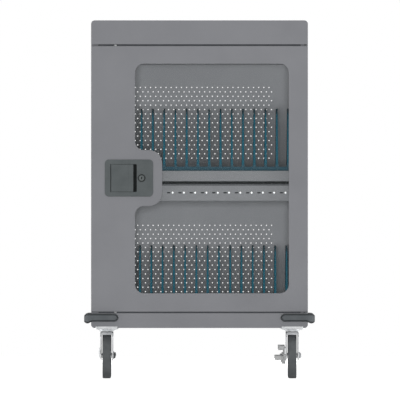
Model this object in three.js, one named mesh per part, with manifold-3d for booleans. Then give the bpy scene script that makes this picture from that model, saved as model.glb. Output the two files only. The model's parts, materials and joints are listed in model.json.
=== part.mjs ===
// Laptop charging cart: a steel cabinet on four swivel casters, with two shelves of
// laptop bays behind one windowed door that hangs on corner pivots and locks with rods.
// Millimetres, +Z up, front towards -Y, origin on the floor under the middle of the cart.

import * as THREE from "three";
import { mergeVertices } from "three/addons/utils/BufferGeometryUtils.js";
import Module from "manifold-3d";

const wasm = await Module();
wasm.setup();

// Sheet metal and fits
const sheet = 2;
const seat = 0.3;
const shaftRoom = 0.5;
const through = 1;

// Cabinet
const bodyWidth = 600;
const bodyDepth = 450;
const baseHeight = 41;
const hoodHeight = 66;
const edgeRadius = 10;
const sideFlange = 20;
const frontReturn = 32;

// Compartments
const lowerShelfRise = 15;
const bayHeight = 295.1;
const shelfLip = 29;
const shelfSetback = 53;
const hubToShelf = 7;
const hubToHood = 6.5;

// Charging hubs
const hubHeight = 48.4;
const hubFace = 43;
const hubDepth = 160;
const hubSetback = 2;
const portShift = -3;
const portHeight = 23.4;
const portWidth = 9;
const portThick = 3.2;
const portRecess = 0.4;
const portBarHeight = 15;
const portBarDepth = 8;
const lightShift = 11;
const lightSize = 4.4;
const lightBarHeight = 6;
const lightBarRise = 7;
const lightBarDepth = 3;

// Divider racks
const bayCount = 15;
const modulesPerShelf = 3;
const rackLeftMargin = 76.9;
const rackRightMargin = 54.2;
const rackFrontMargin = 4;
const rackRearMargin = 30;
const lowerRackShift = -4.4;
const finTop = 4.8;
const finRoot = 6.4;
const finHeight = 172;
const finRadius = 36;
const rackBase = 11;
const rackWall = 1.5;

// Door and window
const doorDepth = 20;
const doorGapTop = 5;
const doorGapBottom = 4;
const doorRearGap = 3;
const pivotInset = 6.5;
const pivotRadius = 3;
const pivotReach = 12;
const collarRadius = 5.5;
const pinHead = 3;
const windowLeft = 121.5;
const windowRight = 52.8;
const windowTop = 48.7;
const windowBottom = 51.1;
const windowRadius = 24;
const tabMarginX = 24.9;
const tabMarginZ = 25.9;
const tabRadius = 39;
const paneThick = 3;
const paneOverlap = 12;

// Lock
const lockMargin = 38;
const lockRise = 370;
const lockRadius = 11;
const lockFlange = 4;
const caseInsetX = 9.85;
const caseInsetZ = 7.75;
const caseDepth = 40;
const caseRoom = 1;
const paddleInset = 16.2;
const paddleRim = 13.5;
const paddleWidth = 62.9;
const paddleHeight = 75.5;
const paddleThick = 5;
const paddleBarrel = 3;
const paddleRoom = 0.8;
const pintleRadius = 1.5;
const pintleLength = 3;
const slotWidth = 9.2;
const shallowPocket = 9;
const deepPocket = 26;
const deepPocketWidth = 40;
const keyGap = 13.5;
const keyInset = 31.9;
const cylinderRadius = 10.5;
const plugRadius = 6.5;
const keywayWidth = 1.6;
const keywayHeight = 8;
const keywayDepth = 6;
const camLength = 20;
const camTail = 6;
const camHeight = 10;
const camThick = 3;

// Latch rods
const rodRadius = 4;
const rodFromLeft = 67.2;
const rodBehind = 5;
const rodTipGap = 0.8;
const rodInCase = 24;
const keeperRoom = 1.5;

// Corner bumpers
const bumperArm = 76;
const bumperOverhang = 19.4;
const bumperHeight = 25;
const bumperDrop = 1.1;
const bumperRadius = 24;
const bumperEndRadius = 8;

// Casters
const wheelRadius = 62.5;
const wheelSides = 24;
const treadWidth = 22.5;
const treadRadius = 4;
const rimRadius = 50;
const rimWidth = 20;
const rimThick = 7;
const hubRadius = 13;
const axleRadius = 4;
const nutFlats = 17;
const nutThick = 8;
const axleHeadRadius = 7;
const axleHeadThick = 2;
const forkWidth = 35.5;
const legThick = 2.5;
const trail = 38;
const legEndRadius = 14.5;
const legTopFront = 18;
const legTopRear = 26;
const crownRadius = 23;
const crownThick = 2.7;
const crownGap = 2.3;
const raceRadius = 21;
const raceHeight = 7.2;
const kingpinRadius = 5;
const kingpinNutRadius = 9;
const kingpinNutThick = 7;
const plateWidth = 65;
const plateLength = 92;
const plateThick = 3;
const plateRadius = 8;
const casterInsetX = 42.5;
const casterInsetY = 82;
const stopTabReach = 4;
const stopTabFront = 22;
const stopTabDepth = 6;
const stopTabRise = 5.1;
const stopTabHeight = 16.4;

// Side brakes on the right-hand casters
const brakeHubRadius = 12;
const brakeHubThick = 13;
const brakeArmThick = 6;
const brakeArmHeight = 10;
const padDepth = 18;
const padHeight = 12.7;
const padRadius = 3;
const lockPadWidth = 17.1;
const lockPadOffset = 14;
const lockPadReach = 30;
const lockPadDrop = 5.2;
const freePadWidth = 18.4;
const freePadOffset = 2.8;
const freePadReach = 28;
const freePadRise = 23.7;

// Power
const supplyWidth = 260;
const supplyDepth = 140;
const supplyHeight = 32;
const inletX = 150;
const inletWidth = 58;
const inletHeight = 31;
const inletFlange = 3;
const inletRadius = 3;
const inletBodyWidth = 52;
const inletBodyHeight = 26;
const inletBodyDepth = 26;
const socketShift = -12;
const socketWidth = 24.5;
const socketHeight = 16.5;
const socketDepth = 16;
const contactWidth = 2;
const contactHeight = 4;
const contactLength = 13;
const contactSpread = 7;
const contactStep = 4;
const switchShift = 15.5;
const rockerWidth = 15;
const rockerHeight = 20;
const rockerFront = 4.5;
const rockerRear = 8;
const rockerTilt = 7;
const rockerRoom = 0.6;
const switchPocketDepth = 14;

// Heights and planes worked out from the sizes above
const wheelDiameter = 2 * wheelRadius;
const crownBottom = wheelDiameter + crownGap;
const crownTop = crownBottom + crownThick;
const plateBottom = crownTop + raceHeight;
const baseBottom = plateBottom + plateThick + seat;
const baseTop = baseBottom + baseHeight;
const lowerFloor = baseTop + lowerShelfRise;
const lowerCeiling = lowerFloor + bayHeight;
const upperFloor = lowerCeiling + hubHeight + hubToShelf + shelfLip;
const upperCeiling = upperFloor + bayHeight;
const hoodBottom = upperCeiling + hubHeight + hubToHood;
const cabinetHeight = hoodBottom - baseTop;
const doorBottom = baseTop + doorGapBottom;
const doorHeight = hoodBottom - doorGapTop - doorBottom;

const side = bodyWidth / 2;
const front = -bodyDepth / 2;
const rear = bodyDepth / 2;
const innerSide = side - sheet - seat;
const sideFront = front + doorDepth + doorRearGap;
const sideRear = rear - sheet - seat;
const innerRear = sideRear - sheet - seat;
const shelfFront = front + shelfSetback;
const hubFront = shelfFront + hubSetback;
const rackFront = shelfFront + rackFrontMargin;
const rackRear = rear - rackRearMargin;
const rackLeft = -side + rackLeftMargin;
const rackRight = side - rackRightMargin;
const bayPitch = (rackRight - rackLeft) / bayCount;
const lockWidth = paddleInset + paddleWidth + slotWidth + keyGap + keyInset;
const lockHeight = paddleHeight + 2 * paddleRim;
const caseWidth = lockWidth - 2 * caseInsetX;
const caseHeight = lockHeight - 2 * caseInsetZ;
const tabReach = lockWidth / 2 + tabMarginX;
const tabHeight = lockHeight + 2 * tabMarginZ;
const lockX = -side + lockMargin + lockWidth / 2;
const rodX = -side + rodFromLeft;
const rodY = doorDepth - rodBehind;
const pivotX = side - pivotInset;
const pivotY = front + pivotInset;

// Finishes, each mesh with its own material
const finishes = {
  powderCoat: { color: 0x858587, roughness: 0.55, metalness: 0.1 },
  hubGrey: { color: 0x8b8b8d, roughness: 0.5, metalness: 0.1 },
  teal: { color: 0x1f6470, roughness: 0.45, metalness: 0 },
  darkPlastic: { color: 0x2c2e30, roughness: 0.5, metalness: 0 },
  whiteLight: { color: 0xf4f6f6, roughness: 0.3, metalness: 0 },
  lockGrey: { color: 0x5a6060, roughness: 0.5, metalness: 0 },
  zinc: { color: 0xc9ccce, roughness: 0.3, metalness: 0.9 },
  tyre: { color: 0x55585a, roughness: 0.8, metalness: 0 },
  core: { color: 0x3b3e40, roughness: 0.5, metalness: 0 },
  bumper: { color: 0x5f6264, roughness: 0.75, metalness: 0 },
  clear: { color: 0xdfe6e6, roughness: 0.05, metalness: 0, transparent: true, opacity: 0.25 },
  supply: { color: 0xb0b2b4, roughness: 0.4, metalness: 0.7 },
};

function piece(name, finish, geometry) {
  const mesh = new THREE.Mesh(geometry, new THREE.MeshStandardMaterial(finishes[finish]));
  mesh.name = name;
  return mesh;
}

function groupAt(x, y, z, children) {
  const group = new THREE.Group();
  group.position.set(x, y, z);
  group.add(...children);
  return group;
}

// Closed mesh to solid and back, with joins and cuts between
function solidOf(geometry) {
  const bare = geometry.clone();
  bare.deleteAttribute("normal");
  bare.deleteAttribute("uv");
  const merged = mergeVertices(bare);
  const corners = merged.index.array;
  const triangles = [];
  for (let i = 0; i < corners.length; i += 3) {
    const [a, b, c] = corners.slice(i, i + 3);
    if (a !== b && b !== c && c !== a) {
      triangles.push(a, b, c);
    }
  }
  const vertProperties = new Float32Array(merged.attributes.position.array);
  const triVerts = new Uint32Array(triangles);
  return new wasm.Manifold(new wasm.Mesh({ numProp: 3, vertProperties, triVerts }));
}

function geometryOf(solid) {
  const mesh = solid.getMesh();
  const geometry = new THREE.BufferGeometry();
  geometry.setAttribute("position", new THREE.BufferAttribute(mesh.vertProperties, 3));
  geometry.setIndex(new THREE.BufferAttribute(mesh.triVerts, 1));
  geometry.computeVertexNormals();
  return geometry;
}

function shaped(base, { join = [], cut = [] }) {
  let solid = solidOf(base);
  for (const extra of join) {
    solid = solid.add(solidOf(extra));
  }
  for (const tool of cut) {
    solid = solid.subtract(solidOf(tool));
  }
  return geometryOf(solid);
}

// Basic forms, each given by the planes that bound it
function block(x0, x1, y0, y1, z0, z1) {
  const geometry = new THREE.BoxGeometry(x1 - x0, y1 - y0, z1 - z0);
  return geometry.translate((x0 + x1) / 2, (y0 + y1) / 2, (z0 + z1) / 2);
}

function uprightBar(radius, x, y, z0, z1, sides = 8) {
  const geometry = new THREE.CylinderGeometry(radius, radius, z1 - z0, sides);
  return geometry.rotateX(Math.PI / 2).translate(x, y, (z0 + z1) / 2);
}

function crossBar(radius, x0, x1, y, z, sides = 8) {
  const geometry = new THREE.CylinderGeometry(radius, radius, x1 - x0, sides);
  return geometry.rotateZ(Math.PI / 2).translate((x0 + x1) / 2, y, z);
}

function depthBar(radius, x, y0, y1, z) {
  const geometry = new THREE.CylinderGeometry(radius, radius, y1 - y0, 12);
  return geometry.translate(x, (y0 + y1) / 2, z);
}

function extruded(shape, depth, curveSegments = 4) {
  return new THREE.ExtrudeGeometry(shape, { depth, bevelEnabled: false, curveSegments });
}

// A shape drawn as seen from the front, from plane y0 back to plane y1
function elevation(shape, y0, y1, curveSegments) {
  return extruded(shape, y1 - y0, curveSegments).rotateX(Math.PI / 2).translate(0, y1, 0);
}

// A shape drawn as seen from above, from height z0 up to height z1
function plan(shape, z0, z1, curveSegments) {
  return extruded(shape, z1 - z0, curveSegments).translate(0, 0, z0);
}

// A shape drawn in depth and height, from plane x0 to plane x1
function profile(shape, x0, x1, curveSegments) {
  const turn = new THREE.Matrix4().makeBasis(
    new THREE.Vector3(0, 1, 0),
    new THREE.Vector3(0, 0, 1),
    new THREE.Vector3(1, 0, 0),
  );
  return extruded(shape, x1 - x0, curveSegments).applyMatrix4(turn).translate(x0, 0, 0);
}

function polygon(points) {
  return new THREE.Shape(points.map(([a, b]) => new THREE.Vector2(a, b)));
}

// Rectangle with one radius at its lower corners and one at its upper corners, 0 for square
function roundedRect(a0, a1, b0, b1, lower, upper = lower) {
  const quarter = Math.PI / 2;
  const shape = new THREE.Shape();
  shape.moveTo(a0 + lower, b0);
  shape.lineTo(a1 - lower, b0);
  if (lower > 0) {
    shape.absarc(a1 - lower, b0 + lower, lower, -quarter, 0);
  }
  shape.lineTo(a1, b1 - upper);
  if (upper > 0) {
    shape.absarc(a1 - upper, b1 - upper, upper, 0, quarter);
  }
  shape.lineTo(a0 + upper, b1);
  if (upper > 0) {
    shape.absarc(a0 + upper, b1 - upper, upper, quarter, 2 * quarter);
  }
  shape.lineTo(a0, b0 + lower);
  if (lower > 0) {
    shape.absarc(a0 + lower, b0 + lower, lower, 2 * quarter, 3 * quarter);
  }
  return shape;
}

// Base pan: rolled lower edges, open top, a return along the front for rod and pivot
function basePan() {
  const outer = roundedRect(-side, side, 0, baseHeight, edgeRadius, 0);
  const inner = roundedRect(
    -side + sheet,
    side - sheet,
    sheet,
    baseHeight + through,
    edgeRadius - sheet,
    0,
  );
  const returnTop = block(
    -side + sheet,
    side - sheet,
    front,
    front + frontReturn,
    baseHeight - sheet,
    baseHeight,
  );
  const hollow = elevation(inner, front + sheet, rear - sheet);
  const shell = shaped(elevation(outer, front, rear), { cut: [hollow] });
  const inletZ = baseHeight / 2;
  const inletHole = block(
    inletX - inletBodyWidth / 2 - seat,
    inletX + inletBodyWidth / 2 + seat,
    rear - sheet - through,
    rear + through,
    inletZ - inletBodyHeight / 2 - seat,
    inletZ + inletBodyHeight / 2 + seat,
  );
  const holes = returnHoles(baseHeight - sheet, baseHeight);
  return shaped(shell, { join: [returnTop], cut: [inletHole, ...holes] });
}

// Holes in the front returns of base and hood for the latch rod and the door pivot
function returnHoles(z0, z1) {
  const keeperRadius = rodRadius + keeperRoom;
  return [
    uprightBar(keeperRadius, rodX, front + rodY, z0 - through, z1 + through),
    uprightBar(pivotRadius + shaftRoom, pivotX, pivotY, z0 - through, z1 + through),
  ];
}

// Top hood: the base turned over, with larger walls
function topHood() {
  const outer = roundedRect(-side, side, 0, hoodHeight, 0, edgeRadius);
  const inner = roundedRect(
    -side + sheet,
    side - sheet,
    -through,
    hoodHeight - sheet,
    0,
    edgeRadius - sheet,
  );
  const hollow = elevation(inner, front + sheet, rear - sheet);
  const shell = shaped(elevation(outer, front, rear), { cut: [hollow] });
  const returnBottom = block(
    -side + sheet,
    side - sheet,
    front,
    front + frontReturn,
    0,
    sheet,
  );
  return shaped(shell, { join: [returnBottom], cut: returnHoles(0, sheet) });
}

// Side panel: a channel with flanges along front and rear, drawn for either side
function sidePanel(sign) {
  const outline = polygon([
    [sign * side, sideFront],
    [sign * (side - sideFlange), sideFront],
    [sign * (side - sideFlange), sideFront + sheet],
    [sign * (side - sheet), sideFront + sheet],
    [sign * (side - sheet), sideRear - sheet],
    [sign * (side - sideFlange), sideRear - sheet],
    [sign * (side - sideFlange), sideRear],
    [sign * side, sideRear],
  ]);
  return plan(outline, seat, cabinetHeight - seat);
}

function rearPanel() {
  return block(-side, side, rear - sheet, rear, seat, cabinetHeight - seat);
}

// Shelf: a sheet with its four edges folded down
function shelf(lip) {
  const outer = block(-innerSide, innerSide, shelfFront, innerRear, -lip, 0);
  const under = block(
    -innerSide + sheet,
    innerSide - sheet,
    shelfFront + sheet,
    innerRear - sheet,
    -lip - through,
    -sheet,
  );
  return shaped(outer, { cut: [under] });
}

// Place of each bay's port across the cart, a little to the left of the bay's middle
function portPlace(index) {
  return rackLeft + (index + 0.5) * bayPitch + portShift;
}

const bays = Array.from({ length: bayCount }, (_, index) => index);

// Hub housing: an open tray across the cabinet, its face cut for ports and lights
function hubHousing() {
  const hubRear = hubFront + hubDepth;
  const outer = block(-innerSide, innerSide, hubFront, hubRear, 0, hubHeight);
  const hollow = block(
    -innerSide + sheet,
    innerSide - sheet,
    hubFront + sheet,
    hubRear - sheet,
    sheet,
    hubHeight + through,
  );
  const faceTop = block(
    -innerSide + sheet,
    innerSide - sheet,
    hubFront - through,
    hubFront + sheet + through,
    hubFace,
    hubHeight + through,
  );
  const portHoles = bays.map((bay) => block(
    portPlace(bay) - portWidth / 2 - seat,
    portPlace(bay) + portWidth / 2 + seat,
    hubFront - through,
    hubFront + sheet + through,
    portHeight - portThick / 2 - seat,
    portHeight + portThick / 2 + seat,
  ));
  const lightHoles = bays.map((bay) => block(
    portPlace(bay) + lightShift - lightSize / 2 - seat,
    portPlace(bay) + lightShift + lightSize / 2 + seat,
    hubFront - through,
    hubFront + sheet + through,
    portHeight - lightSize / 2 - seat,
    portHeight + lightSize / 2 + seat,
  ));
  return shaped(outer, { cut: [hollow, faceTop, ...portHoles, ...lightHoles] });
}

// Port bar: the socket carrier behind the hub face, one nose per bay
function portBar() {
  const barFront = hubFront + sheet + seat + lightBarDepth + seat;
  const bar = block(
    portPlace(0) - bayPitch / 2,
    portPlace(bayCount - 1) + bayPitch / 2,
    barFront,
    barFront + portBarDepth,
    portHeight - portBarHeight / 2,
    portHeight + portBarHeight / 2,
  );
  const noses = bays.map((bay) => block(
    portPlace(bay) - portWidth / 2,
    portPlace(bay) + portWidth / 2,
    hubFront + portRecess,
    barFront + through,
    portHeight - portThick / 2,
    portHeight + portThick / 2,
  ));
  return shaped(bar, { join: noses });
}

// Light pipe: a clear bar above the ports with one leg and one peg per bay
function lightPipe() {
  const barFront = hubFront + sheet + seat;
  const barRear = barFront + lightBarDepth;
  const barBottom = portHeight + lightBarRise;
  const bar = block(
    portPlace(0) - bayPitch / 2,
    portPlace(bayCount - 1) + bayPitch / 2,
    barFront,
    barRear,
    barBottom,
    barBottom + lightBarHeight,
  );
  const legs = bays.map((bay) => block(
    portPlace(bay) + lightShift - lightSize / 2,
    portPlace(bay) + lightShift + lightSize / 2,
    barFront,
    barRear,
    portHeight - lightSize / 2,
    barBottom + through,
  ));
  const pegs = bays.map((bay) => block(
    portPlace(bay) + lightShift - lightSize / 2,
    portPlace(bay) + lightShift + lightSize / 2,
    hubFront,
    barFront + through,
    portHeight - lightSize / 2,
    portHeight + lightSize / 2,
  ));
  return shaped(bar, { join: [...legs, ...pegs] });
}

// Rack module: a moulded foot with hollow tapering fins, open underneath
function rackModule(firstBay, count, closed) {
  const left = rackLeft + firstBay * bayPitch;
  const start = left - finRoot / 2 + (firstBay === 0 ? 0 : seat);
  const end = left + count * bayPitch + (closed ? finRoot / 2 : -finRoot / 2);
  const foot = block(start, end, rackFront, rackRear, 0, rackBase);
  const underFoot = block(
    start + rackWall,
    end - rackWall,
    rackFront + rackWall,
    rackRear - rackWall,
    -through,
    rackBase - rackWall,
  );
  const fins = [];
  const cores = [];
  const finCount = closed ? count + 1 : count;
  for (let i = 0; i < finCount; i += 1) {
    const middle = left + i * bayPitch;
    const rootLeft = i === 0 ? start : middle - finRoot / 2;
    fins.push(finBody(middle, rootLeft));
    cores.push(finCore(middle, rootLeft));
  }
  return shaped(foot, { join: fins, cut: [underFoot, ...cores] });
}

// Fin: thicker at its root than at its top edge, with rounded upper corners
function finBody(middle, rootLeft) {
  const taper = polygon([
    [rootLeft, 0],
    [middle + finRoot / 2, 0],
    [middle + finTop / 2, finHeight],
    [middle - finTop / 2, finHeight],
  ]);
  const sideView = roundedRect(rackFront, rackRear, -through, finHeight + seat, 0, finRadius);
  const wide = profile(sideView, middle - finRoot, middle + finRoot, 2);
  const solid = solidOf(elevation(taper, rackFront - seat, rackRear + seat));
  return geometryOf(solid.intersect(solidOf(wide)));
}

function finCore(middle, rootLeft) {
  const inset = finRadius / 3;
  const top = finHeight - inset;
  const taper = polygon([
    [rootLeft + rackWall, -through],
    [middle + finRoot / 2 - rackWall, -through],
    [middle + finTop / 2 - rackWall, top],
    [middle - finTop / 2 + rackWall, top],
  ]);
  return elevation(taper, rackFront + inset, rackRear - inset);
}

// Outline of the door window, with the tab that leaves room for the lock, grown by a margin
function windowShape(grow) {
  const quarter = Math.PI / 2;
  const left = -side + windowLeft - grow;
  const right = side - windowRight + grow;
  const bottom = windowBottom - grow;
  const top = doorHeight - windowTop + grow;
  const tabRight = lockX + tabReach - grow;
  const tabTop = lockRise + tabHeight / 2 - grow;
  const tabBottom = lockRise - tabHeight / 2 + grow;
  const corner = windowRadius + grow;
  const nose = tabRadius - grow;
  const shape = new THREE.Shape();
  shape.moveTo(left + corner, bottom);
  shape.lineTo(right - corner, bottom);
  shape.absarc(right - corner, bottom + corner, corner, -quarter, 0);
  shape.lineTo(right, top - corner);
  shape.absarc(right - corner, top - corner, corner, 0, quarter);
  shape.lineTo(left + corner, top);
  shape.absarc(left + corner, top - corner, corner, quarter, 2 * quarter);
  shape.lineTo(left, tabTop + corner);
  shape.absarc(left + corner, tabTop + corner, corner, 2 * quarter, 3 * quarter);
  shape.lineTo(tabRight - nose, tabTop);
  shape.absarc(tabRight - nose, tabTop - nose, nose, quarter, 0, true);
  shape.lineTo(tabRight, tabBottom + nose);
  shape.absarc(tabRight - nose, tabBottom + nose, nose, 0, -quarter, true);
  shape.lineTo(left + corner, tabBottom);
  shape.absarc(left + corner, tabBottom - corner, corner, quarter, 2 * quarter);
  shape.lineTo(left, bottom + corner);
  shape.absarc(left + corner, bottom + corner, corner, 2 * quarter, 3 * quarter);
  return shape;
}

// Door panel: a tray open at the back, cut for window, lock, rods and pivots
function doorPanel() {
  const outer = block(-side, side, 0, doorDepth, 0, doorHeight);
  const hollow = block(
    -side + sheet,
    side - sheet,
    sheet,
    doorDepth + through,
    sheet,
    doorHeight - sheet,
  );
  const opening = elevation(windowShape(0), -through, sheet + through);
  const lockHole = block(
    lockX - caseWidth / 2 - caseRoom,
    lockX + caseWidth / 2 + caseRoom,
    -through,
    sheet + through,
    lockRise - caseHeight / 2 - caseRoom,
    lockRise + caseHeight / 2 + caseRoom,
  );
  const rodHole = uprightBar(rodRadius + shaftRoom, rodX, rodY, -through, doorHeight + through);
  const pivotHole = uprightBar(
    pivotRadius + shaftRoom,
    pivotX,
    pivotInset,
    -through,
    doorHeight + through,
  );
  return shaped(outer, { cut: [hollow, opening, lockHole, rodHole, pivotHole] });
}

function windowPane() {
  return elevation(windowShape(paneOverlap), sheet + seat, sheet + seat + paneThick);
}

// Lock, drawn about the middle of its face plate on the door's front plane
const flangeFront = -seat - lockFlange;
const paddleLeft = -lockWidth / 2 + paddleInset;
const paddleRight = paddleLeft + paddleWidth;
const slotRight = paddleRight + slotWidth;
const paddlePivot = paddleLeft + paddleBarrel;
const pocketHalf = paddleHeight / 2 + paddleRoom;
const keyX = lockWidth / 2 - keyInset;
const rodInLock = rodX - lockX;
const keyFront = flangeFront - seat;

function lockBody() {
  const plateShape = roundedRect(
    -lockWidth / 2,
    lockWidth / 2,
    -lockHeight / 2,
    lockHeight / 2,
    lockRadius,
  );
  const facePlate = elevation(plateShape, flangeFront, -seat);
  const housing = block(
    -caseWidth / 2,
    caseWidth / 2,
    -through,
    caseDepth,
    -caseHeight / 2,
    caseHeight / 2,
  );
  const shallow = block(
    paddleLeft - paddleRoom,
    slotRight,
    flangeFront - through,
    shallowPocket,
    -pocketHalf,
    pocketHalf,
  );
  const deep = block(
    slotRight - deepPocketWidth,
    slotRight,
    0,
    deepPocket,
    -pocketHalf,
    pocketHalf,
  );
  const pintleEnd = paddleHeight / 2 + pintleLength + shaftRoom;
  const pintleBore = uprightBar(pintleRadius + shaftRoom, paddlePivot, 0, -pintleEnd, pintleEnd);
  const keyBore = depthBar(
    cylinderRadius + shaftRoom,
    keyX,
    flangeFront - through,
    caseDepth + through,
    0,
  );
  const boreRadius = rodRadius + shaftRoom;
  const boreEnd = caseHeight / 2 - rodInCase - through;
  const rodBores = [
    uprightBar(boreRadius, rodInLock, rodY, boreEnd, caseHeight / 2 + through),
    uprightBar(boreRadius, rodInLock, rodY, -caseHeight / 2 - through, -boreEnd),
  ];
  return shaped(facePlate, {
    join: [housing],
    cut: [shallow, deep, pintleBore, keyBore, ...rodBores],
  });
}

// Paddle: a flat handle with a barrel at its hinge edge and a pintle at each end
function lockPaddle() {
  const face = flangeFront - seat;
  const back = face + paddleThick;
  const outline = new THREE.Shape();
  outline.moveTo(paddlePivot, face);
  outline.lineTo(paddleRight, face);
  outline.lineTo(paddleRight, back);
  outline.lineTo(paddlePivot + Math.sqrt(paddleBarrel ** 2 - back ** 2), back);
  outline.absarc(paddlePivot, 0, paddleBarrel, Math.asin(back / paddleBarrel), 1.5 * Math.PI);
  const plate = plan(outline, -paddleHeight / 2, paddleHeight / 2, 6);
  const pintle = uprightBar(
    pintleRadius,
    paddlePivot,
    0,
    -paddleHeight / 2 - pintleLength,
    paddleHeight / 2 + pintleLength,
  );
  return shaped(plate, { join: [pintle] });
}

function lockCylinder() {
  const outer = depthBar(cylinderRadius, keyX, keyFront, caseDepth + seat, 0);
  const bore = depthBar(
    plugRadius + shaftRoom,
    keyX,
    keyFront - through,
    caseDepth + seat + through,
    0,
  );
  return shaped(outer, { cut: [bore] });
}

// Key plug, drawn about its own axis: keyway in front, cam behind the case
function keyPlug() {
  const camFront = caseDepth + seat + shaftRoom;
  const stem = depthBar(plugRadius, 0, keyFront, camFront + camThick, 0);
  const cam = block(-camLength, camTail, camFront, camFront + camThick, -camHeight / 2, camHeight / 2);
  const keyway = block(
    -keywayWidth / 2,
    keywayWidth / 2,
    keyFront - through,
    keyFront + keywayDepth,
    -keywayHeight / 2,
    keywayHeight / 2,
  );
  return shaped(stem, { join: [cam], cut: [keyway] });
}

// Latch rods run from inside the lock case to just short of the hood and the base
function latchRod(sign) {
  const inner = lockRise + sign * (caseHeight / 2 - rodInCase);
  const upperTip = doorHeight + doorGapTop - rodTipGap;
  const lowerTip = rodTipGap - doorGapBottom;
  const outer = sign > 0 ? upperTip : lowerTip;
  return uprightBar(rodRadius, rodX, rodY, Math.min(inner, outer), Math.max(inner, outer));
}

// Pivot pins: the upper hangs by its head, the lower carries the door on its collar
function upperPivot() {
  const headSeat = sheet + seat;
  const shank = uprightBar(pivotRadius, 0, 0, -doorGapTop - pivotReach, headSeat + through);
  const headRadius = pivotInset - sheet - shaftRoom;
  const head = uprightBar(headRadius, 0, 0, headSeat, headSeat + pinHead, 16);
  return shaped(shank, { join: [head] });
}

function lowerPivot() {
  const shank = uprightBar(pivotRadius, 0, 0, -pivotReach, doorGapBottom + pivotReach);
  const collar = uprightBar(collarRadius, 0, 0, seat, doorGapBottom - seat, 16);
  return shaped(shank, { join: [collar] });
}

// Corner bumper: an L that wraps the corner, drawn with the cabinet at -X and -Y
function cornerBumper() {
  const quarter = Math.PI / 2;
  const reach = bumperOverhang;
  const round = bumperEndRadius;
  const shape = new THREE.Shape();
  shape.moveTo(-bumperArm, seat);
  shape.lineTo(seat, seat);
  shape.lineTo(seat, -bumperArm);
  shape.lineTo(reach - round, -bumperArm);
  shape.absarc(reach - round, -bumperArm + round, round, -quarter, 0);
  shape.lineTo(reach, reach - bumperRadius);
  shape.absarc(reach - bumperRadius, reach - bumperRadius, bumperRadius, 0, quarter);
  shape.lineTo(-bumperArm + round, reach);
  shape.absarc(-bumperArm + round, reach - round, round, quarter, 2 * quarter);
  return plan(shape, 0, bumperHeight);
}

// Caster plate with its ball race and the kingpin and nut that hold the fork
function casterPlate() {
  const outline = roundedRect(
    -plateWidth / 2,
    plateWidth / 2,
    -plateLength / 2,
    plateLength / 2,
    plateRadius,
  );
  const plate = plan(outline, plateBottom, plateBottom + plateThick, 2);
  const race = uprightBar(raceRadius, 0, 0, crownTop + seat, plateBottom + through, 16);
  const nutTop = crownBottom - seat;
  const pin = uprightBar(kingpinRadius, 0, 0, nutTop - kingpinNutThick, plateBottom + through);
  const nut = uprightBar(kingpinNutRadius, 0, 0, nutTop - kingpinNutThick, nutTop, 6);
  return shaped(plate, { join: [race, pin, nut] });
}

// Fork: a crown disc and two raked legs down to the axle, with a stop tab on one leg
function casterFork() {
  const deg = Math.PI / 180;
  const bend = 15 * deg;
  const leg = new THREE.Shape();
  leg.moveTo(-legTopFront, crownTop);
  leg.lineTo(-legTopFront, crownBottom);
  leg.lineTo(trail - legEndRadius * Math.cos(bend), wheelRadius - legEndRadius * Math.sin(bend));
  leg.absarc(trail, wheelRadius, legEndRadius, Math.PI + bend, 2 * Math.PI + bend);
  leg.lineTo(legTopRear, crownBottom);
  leg.lineTo(legTopRear, crownTop);
  const half = forkWidth / 2;
  const crown = uprightBar(crownRadius, 0, 0, crownBottom, crownTop, 16);
  const legs = [
    profile(leg, -half, -half + legThick, 4),
    profile(leg, half - legThick, half, 4),
  ];
  const bridge = block(-half, half, -legTopFront, legTopRear, crownBottom, crownTop);
  const stopTab = block(
    -half - stopTabReach,
    -half + through,
    stopTabFront - stopTabDepth,
    stopTabFront,
    wheelRadius + stopTabRise,
    wheelRadius + stopTabRise + stopTabHeight,
  );
  const pinHole = uprightBar(
    kingpinRadius + shaftRoom,
    0,
    0,
    crownBottom - through,
    crownTop + through,
  );
  const axleHole = crossBar(axleRadius + seat, -half - through, half + through, trail, wheelRadius);
  return shaped(crown, { join: [bridge, ...legs, stopTab], cut: [pinHole, axleHole] });
}

// Turned ring about the axle from a closed profile of radius and width
function turned(points) {
  const outline = points.map(([radius, along]) => new THREE.Vector2(radius, along));
  outline.push(outline[0].clone());
  const ring = new THREE.LatheGeometry(outline, wheelSides);
  return ring.rotateZ(Math.PI / 2).translate(0, trail, wheelRadius);
}

function tyre() {
  const half = treadWidth / 2;
  const bore = rimRadius + seat;
  return turned([
    [bore, -rimWidth / 2],
    [wheelRadius - 2 * treadRadius, -half],
    [wheelRadius - treadRadius, -half],
    [wheelRadius, treadRadius - half],
    [wheelRadius, half - treadRadius],
    [wheelRadius - treadRadius, half],
    [wheelRadius - 2 * treadRadius, half],
    [bore, rimWidth / 2],
  ]);
}

function wheelCore() {
  const hubHalf = forkWidth / 2 - legThick - seat;
  const bore = axleRadius + seat;
  const rimInner = rimRadius - rimThick;
  return turned([
    [bore, -hubHalf],
    [hubRadius, -hubHalf],
    [rimInner, -rimWidth / 2],
    [rimRadius, -rimWidth / 2],
    [rimRadius, rimWidth / 2],
    [rimInner, rimWidth / 2],
    [hubRadius, hubHalf],
    [bore, hubHalf],
  ]);
}

// Axle bolt: hex nut on the +X side, and a low head or the brake's spindle on the other
function axleBolt(braked) {
  const face = forkWidth / 2 + seat;
  const shankEnd = braked ? brakeHubThick + 2 * seat : 0;
  const shank = crossBar(axleRadius, -face - shankEnd, face + nutThick, trail, wheelRadius);
  const nut = crossBar(nutFlats / Math.sqrt(3), face, face + nutThick, trail, wheelRadius, 6);
  const headStart = -face - shankEnd - axleHeadThick;
  const head = crossBar(axleHeadRadius, headStart, -face - shankEnd, trail, wheelRadius);
  return shaped(shank, { join: [nut, head] });
}

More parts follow.
